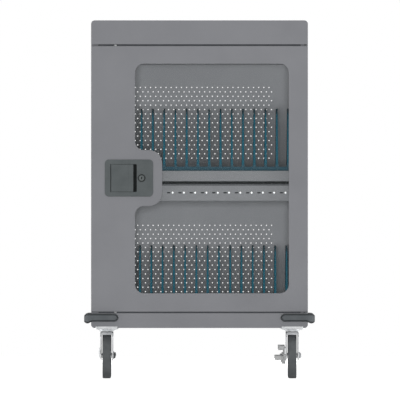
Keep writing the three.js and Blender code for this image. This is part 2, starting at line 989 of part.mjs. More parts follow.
// Brake rocker on the axle's spindle: one foot pad locks it, the other frees it
function brakeRocker() {
  const inner = -forkWidth / 2 - 2 * seat;
  const outer = inner - brakeHubThick;
  const armInner = outer + brakeArmThick;
  const hub = crossBar(brakeHubRadius, outer, inner, trail, wheelRadius, 12);
  const lockY = trail - lockPadReach;
  const lockZ = wheelRadius - lockPadDrop;
  const freeY = trail + freePadReach;
  const freeZ = wheelRadius + freePadRise;
  const lockArm = armBetween(lockY, lockZ, outer, armInner);
  const freeArm = armBetween(freeY, freeZ, outer, armInner);
  const lockPadInner = -forkWidth / 2 - lockPadOffset;
  const freePadInner = -forkWidth / 2 - freePadOffset;
  const lockPad = footPad(lockPadInner - lockPadWidth, lockPadInner + through, lockY, lockZ);
  const freePad = footPad(freePadInner - freePadWidth, freePadInner, freeY, freeZ);
  const boreRadius = axleRadius + shaftRoom;
  const spindleHole = crossBar(boreRadius, outer - through, inner + through, trail, wheelRadius);
  return shaped(hub, { join: [lockArm, freeArm, lockPad, freePad], cut: [spindleHole] });
}

// Straight bar from the axle out to a foot pad, in the plane of the brake
function armBetween(y, z, x0, x1) {
  const along = new THREE.Vector2(y - trail, z - wheelRadius);
  const across = new THREE.Vector2(-along.y, along.x).setLength(brakeArmHeight / 2);
  const arm = polygon([
    [trail - across.x, wheelRadius - across.y],
    [y - across.x, z - across.y],
    [y + across.x, z + across.y],
    [trail + across.x, wheelRadius + across.y],
  ]);
  return profile(arm, x0, x1);
}

function footPad(x0, x1, y, z) {
  const outline = roundedRect(
    y - padDepth / 2,
    y + padDepth / 2,
    z - padHeight / 2,
    z + padHeight / 2,
    padRadius,
  );
  return profile(outline, x0, x1, 2);
}

function caster(tag, x, y, braked) {
  const children = [
    piece(`caster_plate_${tag}`, "zinc", casterPlate()),
    piece(`caster_fork_${tag}`, "zinc", casterFork()),
    piece(`wheel_tyre_${tag}`, "tyre", tyre()),
    piece(`wheel_core_${tag}`, "core", wheelCore()),
    piece(`axle_bolt_${tag}`, "zinc", axleBolt(braked)),
  ];
  if (braked) {
    children.push(piece(`brake_rocker_${tag}`, "zinc", brakeRocker()));
  }
  return groupAt(x, y, 0, children);
}

// Power supply cover on the floor of the base
function powerSupply() {
  const half = supplyWidth / 2;
  const deep = supplyDepth / 2;
  const outer = block(-half, half, -deep, deep, 0, supplyHeight);
  const under = block(
    -half + sheet,
    half - sheet,
    -deep + sheet,
    deep - sheet,
    -through,
    supplyHeight - sheet,
  );
  return shaped(outer, { cut: [under] });
}

// Mains inlet with its switch bay, drawn about the outer face of the base's rear wall
function powerInlet() {
  const plateShape = roundedRect(
    -inletWidth / 2,
    inletWidth / 2,
    -inletHeight / 2,
    inletHeight / 2,
    inletRadius,
  );
  const outerFace = seat + inletFlange;
  const facePlate = elevation(plateShape, seat, outerFace, 2);
  const housing = block(
    -inletBodyWidth / 2,
    inletBodyWidth / 2,
    -inletBodyDepth,
    seat + through,
    -inletBodyHeight / 2,
    inletBodyHeight / 2,
  );
  const socket = block(
    socketShift - socketWidth / 2,
    socketShift + socketWidth / 2,
    outerFace - socketDepth,
    outerFace + through,
    -socketHeight / 2,
    socketHeight / 2,
  );
  const switchBay = block(
    switchShift - rockerWidth / 2 - seat,
    switchShift + rockerWidth / 2 + seat,
    outerFace - switchPocketDepth,
    outerFace + through,
    -rockerHeight / 2 - rockerRoom,
    rockerHeight / 2 + rockerRoom,
  );
  const contactRoot = outerFace - socketDepth;
  const contacts = [-1, 0, 1].map((place) => {
    const x = socketShift + place * contactSpread;
    const z = place === 0 ? contactStep / 2 : -contactStep / 2;
    return block(
      x - contactWidth / 2,
      x + contactWidth / 2,
      contactRoot - through,
      contactRoot + contactLength,
      z - contactHeight / 2,
      z + contactHeight / 2,
    );
  });
  const shell = shaped(facePlate, { join: [housing], cut: [socket, switchBay] });
  return shaped(shell, { join: contacts });
}

// Rocker drawn flat about its pivot, tilted to off by the placing below
function switchRocker() {
  const outline = polygon([
    [-rockerRear, -rockerHeight / 4],
    [rockerFront, -rockerHeight / 2 + rockerRoom],
    [rockerFront - rockerRoom, 0],
    [rockerFront, rockerHeight / 2 - rockerRoom],
    [-rockerRear, rockerHeight / 4],
  ]);
  return profile(outline, -rockerWidth / 2, rockerWidth / 2);
}

// Cabinet
const cabinet = groupAt(0, 0, baseTop, [
  piece("left_side_panel", "powderCoat", sidePanel(-1)),
  piece("right_side_panel", "powderCoat", sidePanel(1)),
  piece("rear_panel", "powderCoat", rearPanel()),
]);
const base = groupAt(0, 0, baseBottom, [piece("base_pan", "powderCoat", basePan())]);
const hood = groupAt(0, 0, hoodBottom, [
  piece("top_hood", "powderCoat", topHood()),
]);

// One compartment: its shelf and racks at the floor, its hub at the ceiling
function compartment(tag, floor, lip, rackShift) {
  const baysPerModule = bayCount / modulesPerShelf;
  const racks = [];
  for (let i = 0; i < modulesPerShelf; i += 1) {
    const closed = i === modulesPerShelf - 1;
    const rack = rackModule(i * baysPerModule, baysPerModule, closed);
    racks.push(piece(`divider_rack_${tag}_${i + 1}`, "teal", rack));
  }
  return groupAt(0, 0, floor, [
    piece(`shelf_${tag}`, "powderCoat", shelf(lip)),
    groupAt(rackShift, 0, seat, racks),
    groupAt(0, 0, bayHeight, [
      piece(`hub_housing_${tag}`, "hubGrey", hubHousing()),
      piece(`port_bar_${tag}`, "darkPlastic", portBar()),
      piece(`light_pipe_${tag}`, "whiteLight", lightPipe()),
    ]),
  ]);
}

// Door with its lock, placed with the front plane at y 0 and the lower edge at z 0
const keyTurn = groupAt(keyX, 0, 0, [piece("key_plug", "lockGrey", keyPlug())]);
const lock = groupAt(lockX, 0, lockRise, [
  piece("lock_body", "lockGrey", lockBody()),
  piece("lock_paddle", "lockGrey", lockPaddle()),
  piece("lock_cylinder", "lockGrey", lockCylinder()),
  keyTurn,
]);
const door = groupAt(0, front, doorBottom, [
  piece("door_panel", "powderCoat", doorPanel()),
  piece("window_pane", "clear", windowPane()),
  piece("latch_rod_upper", "zinc", latchRod(1)),
  piece("latch_rod_lower", "zinc", latchRod(-1)),
  lock,
]);
const pivots = [
  groupAt(pivotX, pivotY, hoodBottom, [piece("door_pivot_upper", "zinc", upperPivot())]),
  groupAt(pivotX, pivotY, baseTop, [piece("door_pivot_lower", "zinc", lowerPivot())]),
];

// Bumpers at the four corners of the base, each turned to face out of its corner
const bumperBottom = baseTop - bumperDrop - bumperHeight;
const corners = [
  { tag: "rear_right", x: side, y: rear, turn: 0 },
  { tag: "rear_left", x: -side, y: rear, turn: 1 },
  { tag: "front_left", x: -side, y: front, turn: 2 },
  { tag: "front_right", x: side, y: front, turn: 3 },
];
const bumpers = corners.map(({ tag, x, y, turn }) => {
  const bumper = piece(`bumper_${tag}`, "bumper", cornerBumper());
  bumper.position.set(x, y, bumperBottom);
  bumper.rotation.z = (turn * Math.PI) / 2;
  return bumper;
});

const casters = corners.map(({ tag, x, y }) => {
  const casterX = x - Math.sign(x) * casterInsetX;
  const casterY = y - Math.sign(y) * casterInsetY;
  return caster(tag, casterX, casterY, x > 0);
});

// Power at the rear of the base
const supply = groupAt(0, 0, baseBottom + sheet + seat, [
  piece("power_supply", "supply", powerSupply()),
]);
const rocker = piece("switch_rocker", "darkPlastic", switchRocker());
rocker.position.x = switchShift;
rocker.rotation.x = THREE.MathUtils.degToRad(-rockerTilt);
const inlet = groupAt(inletX, rear, baseBottom + baseHeight / 2, [
  piece("power_inlet", "darkPlastic", powerInlet()),
  rocker,
]);

const cart = new THREE.Group();
cart.add(
  base,
  cabinet,
  hood,
  compartment("lower", lowerFloor, lowerShelfRise - seat, lowerRackShift),
  compartment("upper", upperFloor, shelfLip, 0),
  door,
  ...pivots,
  ...bumpers,
  ...casters,
  supply,
  inlet,
);

export default cart;
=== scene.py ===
import json
import math
import bmesh
import bpy
from mathutils import Matrix, Vector

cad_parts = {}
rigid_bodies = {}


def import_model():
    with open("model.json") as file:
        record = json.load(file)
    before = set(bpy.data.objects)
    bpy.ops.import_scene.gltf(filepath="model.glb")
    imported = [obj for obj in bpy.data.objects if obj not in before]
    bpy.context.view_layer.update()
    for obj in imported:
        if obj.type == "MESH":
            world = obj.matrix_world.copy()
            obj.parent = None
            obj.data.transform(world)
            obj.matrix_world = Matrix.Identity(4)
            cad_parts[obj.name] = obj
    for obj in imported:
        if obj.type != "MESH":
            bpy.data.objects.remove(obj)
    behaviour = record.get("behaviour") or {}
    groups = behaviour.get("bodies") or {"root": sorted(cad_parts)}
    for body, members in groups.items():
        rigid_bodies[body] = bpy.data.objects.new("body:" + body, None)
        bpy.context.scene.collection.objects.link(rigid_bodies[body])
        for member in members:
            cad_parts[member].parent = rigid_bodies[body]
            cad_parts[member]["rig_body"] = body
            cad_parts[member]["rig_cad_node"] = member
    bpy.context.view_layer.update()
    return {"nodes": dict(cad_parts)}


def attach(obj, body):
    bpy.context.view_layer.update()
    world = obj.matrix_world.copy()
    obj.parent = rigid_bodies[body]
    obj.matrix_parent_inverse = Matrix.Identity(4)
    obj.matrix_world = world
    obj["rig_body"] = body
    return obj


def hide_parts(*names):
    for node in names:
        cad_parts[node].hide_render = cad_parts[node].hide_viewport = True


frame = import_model()

# Base pan
# The floor of the cart: one steel sheet folded up into a tray, its two long lower edges rolled,
# with a return along the front that takes the door's lower pivot and the lower latch rod.
MM = 0.001
side, front, rear = 300, -225, 225
base_bottom, base_top = 140.5, 181.5
sheet, roll, front_return = 2, 10, 32
rod_place, pivot_place = (-232.8, -210), (293.5, -218.5)
caster_x, caster_y = 257.5, 143


def linear(red, green, blue):
    def channel(level):
        share = level / 255
        return share / 12.92 if share <= 0.04045 else ((share + 0.055) / 1.055) ** 2.4

    return (channel(red), channel(green), channel(blue), 1)


def choose(*parts):
    bpy.ops.object.select_all(action="DESELECT")
    for part in parts:
        part.select_set(True)
    if parts:
        bpy.context.view_layer.objects.active = parts[0]


def object_mode():
    bpy.ops.object.mode_set(mode="OBJECT")


def settle(name):
    bpy.ops.object.transform_apply(location=True, rotation=True, scale=True)
    bpy.context.object.name = name
    return bpy.context.object


def box(name, low, high):
    choose()
    middle = [(a + b) / 2 * MM for a, b in zip(low, high)]
    size = [(b - a) * MM for a, b in zip(low, high)]
    bpy.ops.mesh.primitive_cube_add(size=1, location=middle, scale=size)
    return settle(name)


def edit(part, kind):
    bpy.context.view_layer.objects.active = part
    bpy.ops.object.mode_set(mode="EDIT")
    bpy.ops.mesh.select_mode(type=kind)
    bpy.ops.mesh.select_all(action="DESELECT")
    return bmesh.from_edit_mesh(part.data)


def pick_faces(part, test):
    shape = edit(part, "FACE")
    for face in shape.faces:
        if test(face.calc_center_median() / MM, face.normal):
            face.select_set(True)
    bmesh.update_edit_mesh(part.data)


def open_up(part, test):
    pick_faces(part, test)
    bpy.ops.mesh.delete(type="FACE")


def pick_edges(part, test):
    shape = edit(part, "EDGE")
    for edge in shape.edges:
        start, end = (corner.co / MM for corner in edge.verts)
        along = (end - start).normalized()
        if test((start + end) / 2, Vector(map(abs, along))):
            edge.select_set(True)
    bmesh.update_edit_mesh(part.data)


def round_edges(part, width, segments, test):
    pick_edges(part, test)
    bpy.ops.mesh.bevel(offset=width * MM, segments=segments, affect="EDGES")


def push(x, y, z):
    bpy.ops.mesh.extrude_region_move(TRANSFORM_OT_translate={"value": (x * MM, y * MM, z * MM)})


def apply(part, modifier):
    object_mode()
    choose(part)
    bpy.ops.object.modifier_apply(modifier=modifier.name)


def wall(part, thickness):
    skin = part.modifiers.new("wall", "SOLIDIFY")
    skin.thickness = thickness * MM
    skin.offset = -1
    skin.use_even_offset = True
    apply(part, skin)


def trim(part, cutter, how="DIFFERENCE"):
    blade = part.modifiers.new("trim", "BOOLEAN")
    blade.object = cutter
    blade.operation = how
    blade.solver = "EXACT"
    apply(part, blade)
    bpy.data.objects.remove(cutter)


def drill(part, radius, axis, centre, start, end):
    place = list(centre)
    place.insert("xyz".index(axis), (start + end) / 2)
    choose()
    bpy.ops.mesh.primitive_cylinder_add(
        vertices=24, radius=radius * MM, depth=(end - start) * MM, location=[p * MM for p in place],
        rotation=(math.pi / 2 if axis == "y" else 0, 0, 0)
    )
    trim(part, settle("drill_bit"))


def smooth(part, angle=35):
    choose(part)
    bpy.ops.object.shade_smooth_by_angle(angle=math.radians(angle))
    flat = part.modifiers.new("flat", "WEIGHTED_NORMAL")
    flat.keep_sharp = True
    apply(part, flat)
    return part


def soften(part, width, segments=2, angle=35):
    edge = part.modifiers.new("edge", "BEVEL")
    edge.width = width * MM
    edge.segments = segments
    edge.limit_method = "ANGLE"
    edge.angle_limit = math.radians(angle)
    apply(part, edge)
    return smooth(part, angle)


def wire(tree, node, **inputs):
    for name, value in inputs.items():
        socket = node.inputs[name.replace("_", " ")]
        if isinstance(value, bpy.types.NodeSocket):
            tree.links.new(value, socket)
        else:
            socket.default_value = value
    return node


def add(tree, kind, **inputs):
    return wire(tree, tree.nodes.new(f"ShaderNode{kind}"), **inputs)


def finish(name, dark, light, grain, rough, bump, metal=0.0, cloud=7.0, gloss=0.3):
    made = bpy.data.materials.new(name)
    made.use_nodes = True
    tree = made.node_tree
    place = add(tree, "TexCoord").outputs["Object"]
    clouds = add(tree, "TexNoise", Vector=place, Scale=cloud, Detail=4)
    tint = add(tree, "ValToRGB", Fac=clouds.outputs["Fac"])
    tint.name = "tint"
    for stop, position, colour in zip(tint.color_ramp.elements, (0.3, 0.7), (dark, light)):
        stop.position = position
        stop.color = linear(*colour)
    peel = add(tree, "TexNoise", Vector=place, Scale=1 / (grain * MM), Detail=2).outputs["Fac"]
    sheen = add(tree, "MapRange", Value=peel, To_Min=rough - 0.07, To_Max=rough + 0.07)
    relief = add(tree, "Bump", Height=peel, Strength=bump, Distance=grain * MM / 4)
    wire(
        tree, tree.nodes["Principled BSDF"], Base_Color=tint.outputs["Color"],
        Roughness=sheen.outputs["Result"], Normal=relief.outputs["Normal"], Metallic=metal,
        Specular_IOR_Level=gloss
    )
    return made


def dress(part, look, slot, body, *nodes):
    if look:
        part.data.materials.clear()
        part.data.materials.append(look)
    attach(part, body)
    if nodes:
        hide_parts(*nodes)


def fold_tray(name, open_z, closed_z):
    inward = 1 if closed_z > open_z else -1
    tray = box(name, (-side, front, min(open_z, closed_z)), (side, rear, max(open_z, closed_z)))
    open_up(tray, lambda c, n: n.z * inward < -0.9)
    round_edges(tray, roll, 8, lambda m, d: abs(m.x) > side - 1 and abs(m.z - closed_z) < 1)
    pick_edges(tray, lambda m, d: m.y < front + 1 and abs(m.z - open_z) < 1 and d.x > 0.9)
    push(0, front_return, 0)
    wall(tray, sheet)
    low, high = sorted((open_z - inward, open_z + 3 * inward))
    drill(tray, 5.5, "z", rod_place, low, high)
    drill(tray, 3.5, "z", pivot_place, low, high)
    return tray


powder = finish("grey_powder_coat", (129, 130, 134), (135, 136, 140), 0.9, 0.55, 0.12)
pan = fold_tray("base_pan_shell", base_top, base_bottom)
trim(pan, box("inlet_cut", (123.7, 222, 147.7), (176.3, 226, 174.3)))
for x in (-caster_x, caster_x):
    for y in (front, rear):
        trim(pan, box("plate_notch", (x - 31, y - 3, 139), (x + 31, y + 3, 145.2)))
soften(pan, 0.7)
dress(pan, powder, "powder_coat", "cabinet", "base_pan")

# Caster plates
# Zinc-plated steel plates pressed with a ball race, with the kingpin and its nut through the middle.
# Four low bolts hold each under the base, and a backing bar fills the notch in the base's edge.
plate_low, plate_high = 137.2, 140.2
corners = {
    "front_left": (-caster_x, -caster_y), "front_right": (caster_x, -caster_y),
    "rear_left": (-caster_x, caster_y), "rear_right": (caster_x, caster_y)
}


def rounded(outline, steps=6):
    points = []
    for i, (a, b, radius) in enumerate(outline):
        here = Vector((a, b))
        back = (Vector(outline[i - 1][:2]) - here).normalized()
        ahead = (Vector(outline[(i + 1) % len(outline)][:2]) - here).normalized()
        if radius == 0:
            points.append((a, b))
            continue
        half = back.angle(ahead) / 2
        middle = here + (back + ahead).normalized() * radius / math.sin(half)
        first = here + back * radius / math.tan(half) - middle
        last = here + ahead * radius / math.tan(half) - middle
        sweep = -first.angle_signed(last)
        start = math.atan2(first.y, first.x)
        for s in range(steps + 1):
            turn = start + sweep * s / steps
            points.append((middle.x + radius * math.cos(turn), middle.y + radius * math.sin(turn)))
    return points


def rectangle(a0, a1, b0, b1, radius, steps=6):
    return rounded([(a0, b0, radius), (a1, b0, radius), (a1, b1, radius), (a0, b1, radius)], steps)


def placed(axis, a, b, along):
    return Vector({"x": (along, a, b), "y": (a, along, b), "z": (a, b, along)}[axis]) * MM


def plate(name, outline, axis, start, end):
    choose()
    bpy.ops.mesh.primitive_circle_add(vertices=len(outline), fill_type="NGON")
    part = bpy.context.object
    part.name = name
    for corner, (a, b) in zip(part.data.vertices, outline):
        corner.co = placed(axis, a, b, start)
    bpy.ops.object.mode_set(mode="EDIT")
    bpy.ops.mesh.select_all(action="SELECT")
    push(*(placed(axis, 0, 0, end - start) / MM))
    bpy.ops.mesh.select_all(action="SELECT")
    bpy.ops.mesh.normals_make_consistent(inside=False)
    object_mode()
    return part


def turned(name, profile, axis, centre, steps=48):
    choose()
    bpy.ops.mesh.primitive_circle_add(vertices=len(profile), fill_type="NOTHING")
    part = bpy.context.object
    part.name = name
    middle = Vector(centre)
    for corner, (radius, along) in zip(part.data.vertices, profile):
        corner.co = middle * MM + placed(axis, radius, 0, along)
    bpy.ops.object.mode_set(mode="EDIT")
    bpy.ops.mesh.select_all(action="SELECT")
    spindle = placed(axis, 0, 0, 1 / MM)
    bpy.ops.mesh.spin(steps=steps, angle=2 * math.pi, center=middle * MM, axis=spindle)
    bpy.ops.mesh.select_all(action="SELECT")
    bpy.ops.mesh.remove_doubles(threshold=1e-6)
    bpy.ops.mesh.delete_loose()
    bpy.ops.mesh.select_all(action="SELECT")
    bpy.ops.mesh.normals_make_consistent(inside=False)
    object_mode()
    return part


def hexagon(name, flats, axis, centre, start, end):
    reach, ring = flats / math.sqrt(3), []
    for turn in range(0, 360, 60):
        angle = math.radians(turn)
        ring.append((reach * math.cos(angle) + centre[0], reach * math.sin(angle) + centre[1]))
    return soften(plate(name, ring, axis, start, end), 0.8)


def join(name, parts):
    choose(*parts)
    if len(parts) > 1:
        bpy.ops.object.join()
    parts[0].name = name
    return parts[0]


def copy_to(part, name, x=0, y=0, z=0):
    choose(part)
    bpy.ops.object.duplicate()
    bpy.ops.transform.translate(value=(x * MM, y * MM, z * MM))
    return settle(name)


def fit(pattern, piece, slot, body, node, tags=corners):
    for tag in tags:
        x, y = corners[tag]
        fitted = copy_to(pattern, f"{piece}_{tag}", x, y)
        dress(fitted, None, slot, f"{body}_{tag}", f"{node}_{tag}")
    bpy.data.objects.remove(pattern)


def coat(look, *parts):
    for part in parts:
        part.data.materials.append(look)


def zinc_finish(name, dark, light, rough=0.34, metal=0.85):
    return finish(name, dark, light, 0.35, rough, 0.05, metal, cloud=60)


# Painted highlight: the bright and bar copies of the zinc plate are lighter than the plain zinc,
# standing in for light on the caster plates, bolts, bearing bushes and backing bars.
bright_zinc = zinc_finish("bright_zinc_plate", (220, 222, 224), (238, 239, 240))
bar_zinc_painted_highlight = zinc_finish("bar_zinc_painted_highlight", (194, 196, 198), (216, 218, 219))
zinc = zinc_finish("zinc_plate", (158, 160, 163), (188, 190, 192), 0.38)
zinc_plate = plate("zinc_plate", rectangle(-32.5, 32.5, -46, 46, 8), "z", plate_low, plate_high)
soften(zinc_plate, 0.5)
race_profile = [
    (5, 130.3), (18.5, 130.3), (20.6, 131), (21, 132.2), (20.2, 133.3), (19.4, 133.8), (20.4, 134.4),
    (21, 135.4), (22.6, 136.6), (24.5, 137.3), (5, 137.3)
]
race = smooth(turned("race", race_profile, "z", (0, 0, 0)))
pin_profile = [(0, 121.4), (4.2, 121.4), (5, 122.2), (5, 137), (0, 137)]
kingpin = smooth(turned("kingpin", pin_profile, "z", (0, 0, 0), 24))
kingpin_nut = hexagon("kingpin_nut", 15.6, "z", (0, 0), 122, 127.2)
pattern = join("caster_plate_pattern", [zinc_plate, race, kingpin, kingpin_nut])
bolt_profile = [(0, 135.4), (2.6, 135.5), (4.6, 136.1), (5.4, 136.9), (5.4, 137.2), (0, 137.2)]
bolt = smooth(turned("plate_bolt", bolt_profile, "z", (0, 0, 0), 24))
backing = box("backing_bar", (-30.4, -6, 139.8), (30.4, 6, 145))
for x in (-23.5, 23.5):
    for y in (-6, 6):
        trim(backing, box("bar_groove", (x - 1.2, y - 1, 139), (x + 1.2, y + 1, 146)))
soften(backing, 0.5)
for tag, (x, y) in corners.items():
    top_plate = copy_to(pattern, f"caster_top_plate_{tag}", x, y)
    dress(top_plate, bright_zinc, "zinc_steel", "cabinet", f"caster_plate_{tag}")
    bolts = [copy_to(bolt, "bolt", x + dx, y + dy) for dx in (-24.5, 24.5) for dy in (-36, 36)]
    dress(join(f"caster_bolts_{tag}", bolts), bright_zinc, "zinc_steel", "cabinet")
    bar = copy_to(backing, f"caster_backing_bar_{tag}", x, math.copysign(rear - 6.4, y))
    dress(bar, bar_zinc_painted_highlight, "zinc_steel", "cabinet")
for spare in (pattern, bolt, backing):
    bpy.data.objects.remove(spare)

# Caster forks
# Pressed steel forks, zinc plated: a channel bent down into two raked legs, with a lip across
# the front of the crown and a small stop tab folded out of the left leg.
trail, axle_z = 38, 62.5
axle = (0, trail, axle_z)
fork_half, leg_thick = 17.75, 2.5
fork_inner, fork_front = fork_half - leg_thick, -22
channel_section = [
    (-fork_half, 40, 0), (-fork_half, 130, 5), (fork_half, 130, 5), (fork_half, 40, 0),
    (fork_inner, 40, 0), (fork_inner, 130 - leg_thick, 2.5), (-fork_inner, 130 - leg_thick, 2.5),
    (-fork_inner, 40, 0)
]
channel = plate("fork_channel", rounded(channel_section), "y", fork_front, 60)
side_view = [
    (fork_front, 131, 0), (fork_front, 122, 6), (-16, 116, 14), (23.6, 71, 20), (23.6, 48, 14),
    (52.4, 48, 14), (52.4, 78, 20), (28, 116, 14), (26, 131, 0)
]
trim(channel, plate("fork_silhouette", rounded(side_view), "x", -30, 30), "INTERSECT")
lip_outline = rectangle(-fork_half + 0.6, fork_half - 0.6, 121.2, 129.2, 2.5)
lip = plate("fork_lip", lip_outline, "y", fork_front, -19.6)
drill(channel, 5.5, "z", (0, 0), 126, 132)
soften(channel, 0.5)
soften(lip, 0.5)
tab = soften(box("fork_tab", (-21.75, 16, 67.6), (-16.8, 22, 84)), 1.0)
fork = join("fork_pattern", [channel, lip, tab])
coat(zinc, fork)
# Painted highlight: the fork faces below the crown take a much lighter copy of the zinc.
coat(zinc_finish("fork_leg_painted_highlight_zinc", (236, 238, 240), (246, 247, 248), metal=0.5), fork)
for face in fork.data.polygons:
    face.material_index = 1 if face.center.z < 112 * MM else 0
fit(fork, "caster_swivel_fork", "zinc_steel", "swivel", "caster_fork")

# Wheel tyres
# Grey rubber tread moulded round the wheel, with a crowned running face and a stepped shoulder.
half_tread = [
    (50.3, 9.8), (53.2, 10.2), (53.9, 11.2), (58.4, 11.7), (60.4, 11.3), (61.7, 10.2), (62.3, 8.4),
    (62.45, 4.6), (62.5, 1.0)
]
tread = half_tread + [(r, -x) for r, x in reversed(half_tread)]
tyre = smooth(turned("tyre_pattern", tread, "x", axle, 72), 40)
rubber_tints = (91, 94, 96), (105, 108, 110)
coat(finish("grey_tyre_rubber", *rubber_tints, 0.6, 0.66, 0.25, cloud=35, gloss=0.2), tyre)
fit(tyre, "wheel_rubber", "tyre_rubber", "wheel", "wheel_tyre")

# Wheel cores
# Moulded dark nylon wheel centres: a rim, a thin web and a long hub, stiffened by eight ribs
# on each face, with a steel bearing bush pressed in the middle.
half_core = [
    (4.6, 10.8), (11.6, 10.8), (12.6, 10), (13.2, 4.4), (15, 3), (41.2, 3), (43, 4.6), (43.4, 9.2),
    (44.4, 10), (50, 10)
]
core_profile = half_core + [(r, -x) for r, x in reversed(half_core)]
core = smooth(turned("core_body", core_profile, "x", axle, 48))
ribs = []
for inner, outer in ((-8.4, -2), (2, 8.4)):
    for step in range(8):
        rib = box("core_rib", (inner, -1.1, 12.4), (outer, 1.1, 43.6))
        round_edges(rib, 1.2, 2, lambda m, d: abs(m.x) > 8 and d.y > 0.9)
        object_mode()
        turn = Matrix.Rotation(math.radians(45 * step + 22.5), 4, "X")
        rib.data.transform(Matrix.Translation(Vector(axle) * MM) @ turn)
        ribs.append(rib)
coat(finish("dark_wheel_nylon", (50, 53, 55), (62, 65, 67), 0.5, 0.48, 0.12, cloud=40), core, *ribs)
bush_profile = [(4.4, -14.9), (5.4, -14.9), (5.8, -14.5), (5.8, 14.5), (5.4, 14.9), (4.4, 14.9)]
bush = smooth(turned("bearing_bush", bush_profile, "x", axle, 32))
# The bush takes the lighter zinc copy, a painted highlight.
coat(bright_zinc, bush)
core = join("core_pattern", [core, bush, *ribs])
fit(core, "wheel_centre", "core_plastic", "wheel", "wheel_core")

# Axle bolts
# Plated bolts through fork and wheel, with a washer and lock nut on the right of each wheel. On the
# right-hand casters the bolt is longer, and its other end is the spindle of the brake.
dark_steel = zinc_finish("dark_nut_steel", (92, 94, 96), (108, 110, 112), 0.45, 0.2)
washer_profile = [(4, 17.8), (10.6, 17.8), (11, 18.2), (11, 19.1), (10.6, 19.4), (4, 19.4)]
for tag, (x, y) in corners.items():
    braked = "right" in tag
    head_end, head_radius, nut_steel = (-33.65, 5, zinc) if braked else (-20.05, 7, dark_steel)
    shank_profile = [
        (0, head_end), (head_radius - 2.4, head_end), (head_radius - 0.4, head_end + 0.9),
        (head_radius, head_end + 2), (4, head_end + 2), (4, 24.2), (3.2, 25), (0, 25)
    ]
    middle = (x, y + trail, axle_z)
    shank = smooth(turned("axle_shank", shank_profile, "x", middle, 32))
    nut_washer = smooth(turned("nut_washer", washer_profile, "x", middle, 32))
    nut = hexagon("axle_nut", 15, "x", middle[1:], x + 19.3, x + 23.9)
    coat(zinc, shank, nut_washer)
    coat(nut_steel, nut)
    bolt = join(f"axle_and_nut_{tag}", [shank, nut_washer, nut])
    dress(bolt, None, "zinc_steel", f"swivel_{tag}", f"axle_bolt_{tag}")

# Side brakes
# Cast rockers on the spindles of the right-hand casters: a round hub with a riveted lug below and
# two arms, each ending in a grooved foot pad. Pressing one pad locks the wheel, the other frees it.
hub_profile = [
    (4.5, -28.7), (6.6, -28.7), (7.6, -28.4), (8.2, -27.6), (8.2, -20), (7.6, -18.35), (4.5, -18.35)
]
hub = smooth(turned("brake_hub", hub_profile, "x", axle, 36))
lug_outline = [
    (trail - 7, axle_z - 5, 0), (trail - 6, axle_z - 22, 4), (trail + 6, axle_z - 22, 4),
    (trail + 7, axle_z - 5, 0)
]
lug = soften(plate("brake_lug", rounded(lug_outline, 4), "x", -28.4, -18.6), 0.8)
rivet_profile = [(0, -31), (2.4, -31), (3.2, -30.2), (3.2, -28), (0, -28)]
rivet = smooth(turned("lug_rivet", rivet_profile, "x", (0, trail, axle_z - 16), 20))
brake_parts = [hub, lug, rivet]
pads = ((8, 57.3, -48.85, -30.75, -31.2), (66, 84.8, -38.95, -20.55, -24.4))
for pad_y, pad_z, pad_outer, pad_inner, arm_outer in pads:
    reach = Vector((pad_y - trail, pad_z - axle_z))
    across = Vector((-reach.y, reach.x)).normalized()
    root, tip = Vector((trail, axle_z)) + reach.normalized() * 7, Vector((pad_y, pad_z))
    edges = [root - across * 5, tip - across * 4.2, tip + across * 4.2, root + across * 5]
    arm = plate("brake_arm", [tuple(e) for e in edges], "x", arm_outer, arm_outer + 5.8)
    soften(arm, 1.2)
    pad_outline = rectangle(pad_y - 9, pad_y + 9, pad_z - 6.35, pad_z + 6.35, 3.4)
    pad = plate("brake_pad", pad_outline, "x", pad_outer, pad_inner)
    for groove in (pad_y - 4.4, pad_y, pad_y + 4.4):
        groove_low = (pad_outer + 2.4, groove - 0.7, pad_z + 5.5)
        groove_high = (pad_inner - 2.4, groove + 0.7, pad_z + 8)
        trim(pad, box("pad_groove", groove_low, groove_high))
    soften(pad, 0.6)
    brake_parts += [arm, pad]
brake = join("brake_pattern", brake_parts)
coat(finish("cast_brake_zinc", (188, 189, 189), (200, 201, 201), 0.5, 0.5, 0.12, cloud=70), brake)
braked_tags = ("front_right", "rear_right")
fit(brake, "brake_pedal", "zinc_steel", "brake", "brake_rocker", braked_tags)

# Corner bumpers
# Moulded rubber blocks wrapped round the four lower corners of the cart. A paler face stands in a
# groove along the outside. The darker rubber round the face is partly the block's own rubber and
# partly painted shade of the groove and the rounded edges. The arm along the side is deeper and
# rounder than the other.
bumper_low, bumper_high = 155.4, 180.4
arm, bumper_gap, bumper_reach = 76, 0.3, 19.4
shade_dark_tints, pale_tints = ((58, 61, 63), (68, 71, 73)), ((88, 92, 95), (98, 102, 105))
# The dark rubber is also painted shade round the paler face, in the groove and along the rounded edges.
dark_rubber_and_shade = finish("bumper_rubber", *shade_dark_tints, 0.7, 0.62, 0.3, cloud=30, gloss=0.2)
pale_rubber = finish("bumper_face_rubber", *pale_tints, 0.7, 0.6, 0.25, cloud=30, gloss=0.2)
outline = [
    (-arm, bumper_gap, 0), (bumper_gap, bumper_gap, 0), (bumper_gap, -arm, 0), (bumper_reach, -arm, 0),
    (bumper_reach, bumper_reach, 24), (-arm, bumper_reach, 0)
]
block = plate("bumper_pattern", rounded(outline, 8), "z", bumper_low, bumper_high)
coat(dark_rubber_and_shade, block)
coat(pale_rubber, block)


def outward(centre, normal):
    return abs(normal.z) < 0.01 and normal.x + normal.y > 0.9


def arm_end(middle, along):
    return (middle.x < 1 - arm and along.y > 0.9) or (middle.y < 1 - arm and along.x > 0.9)


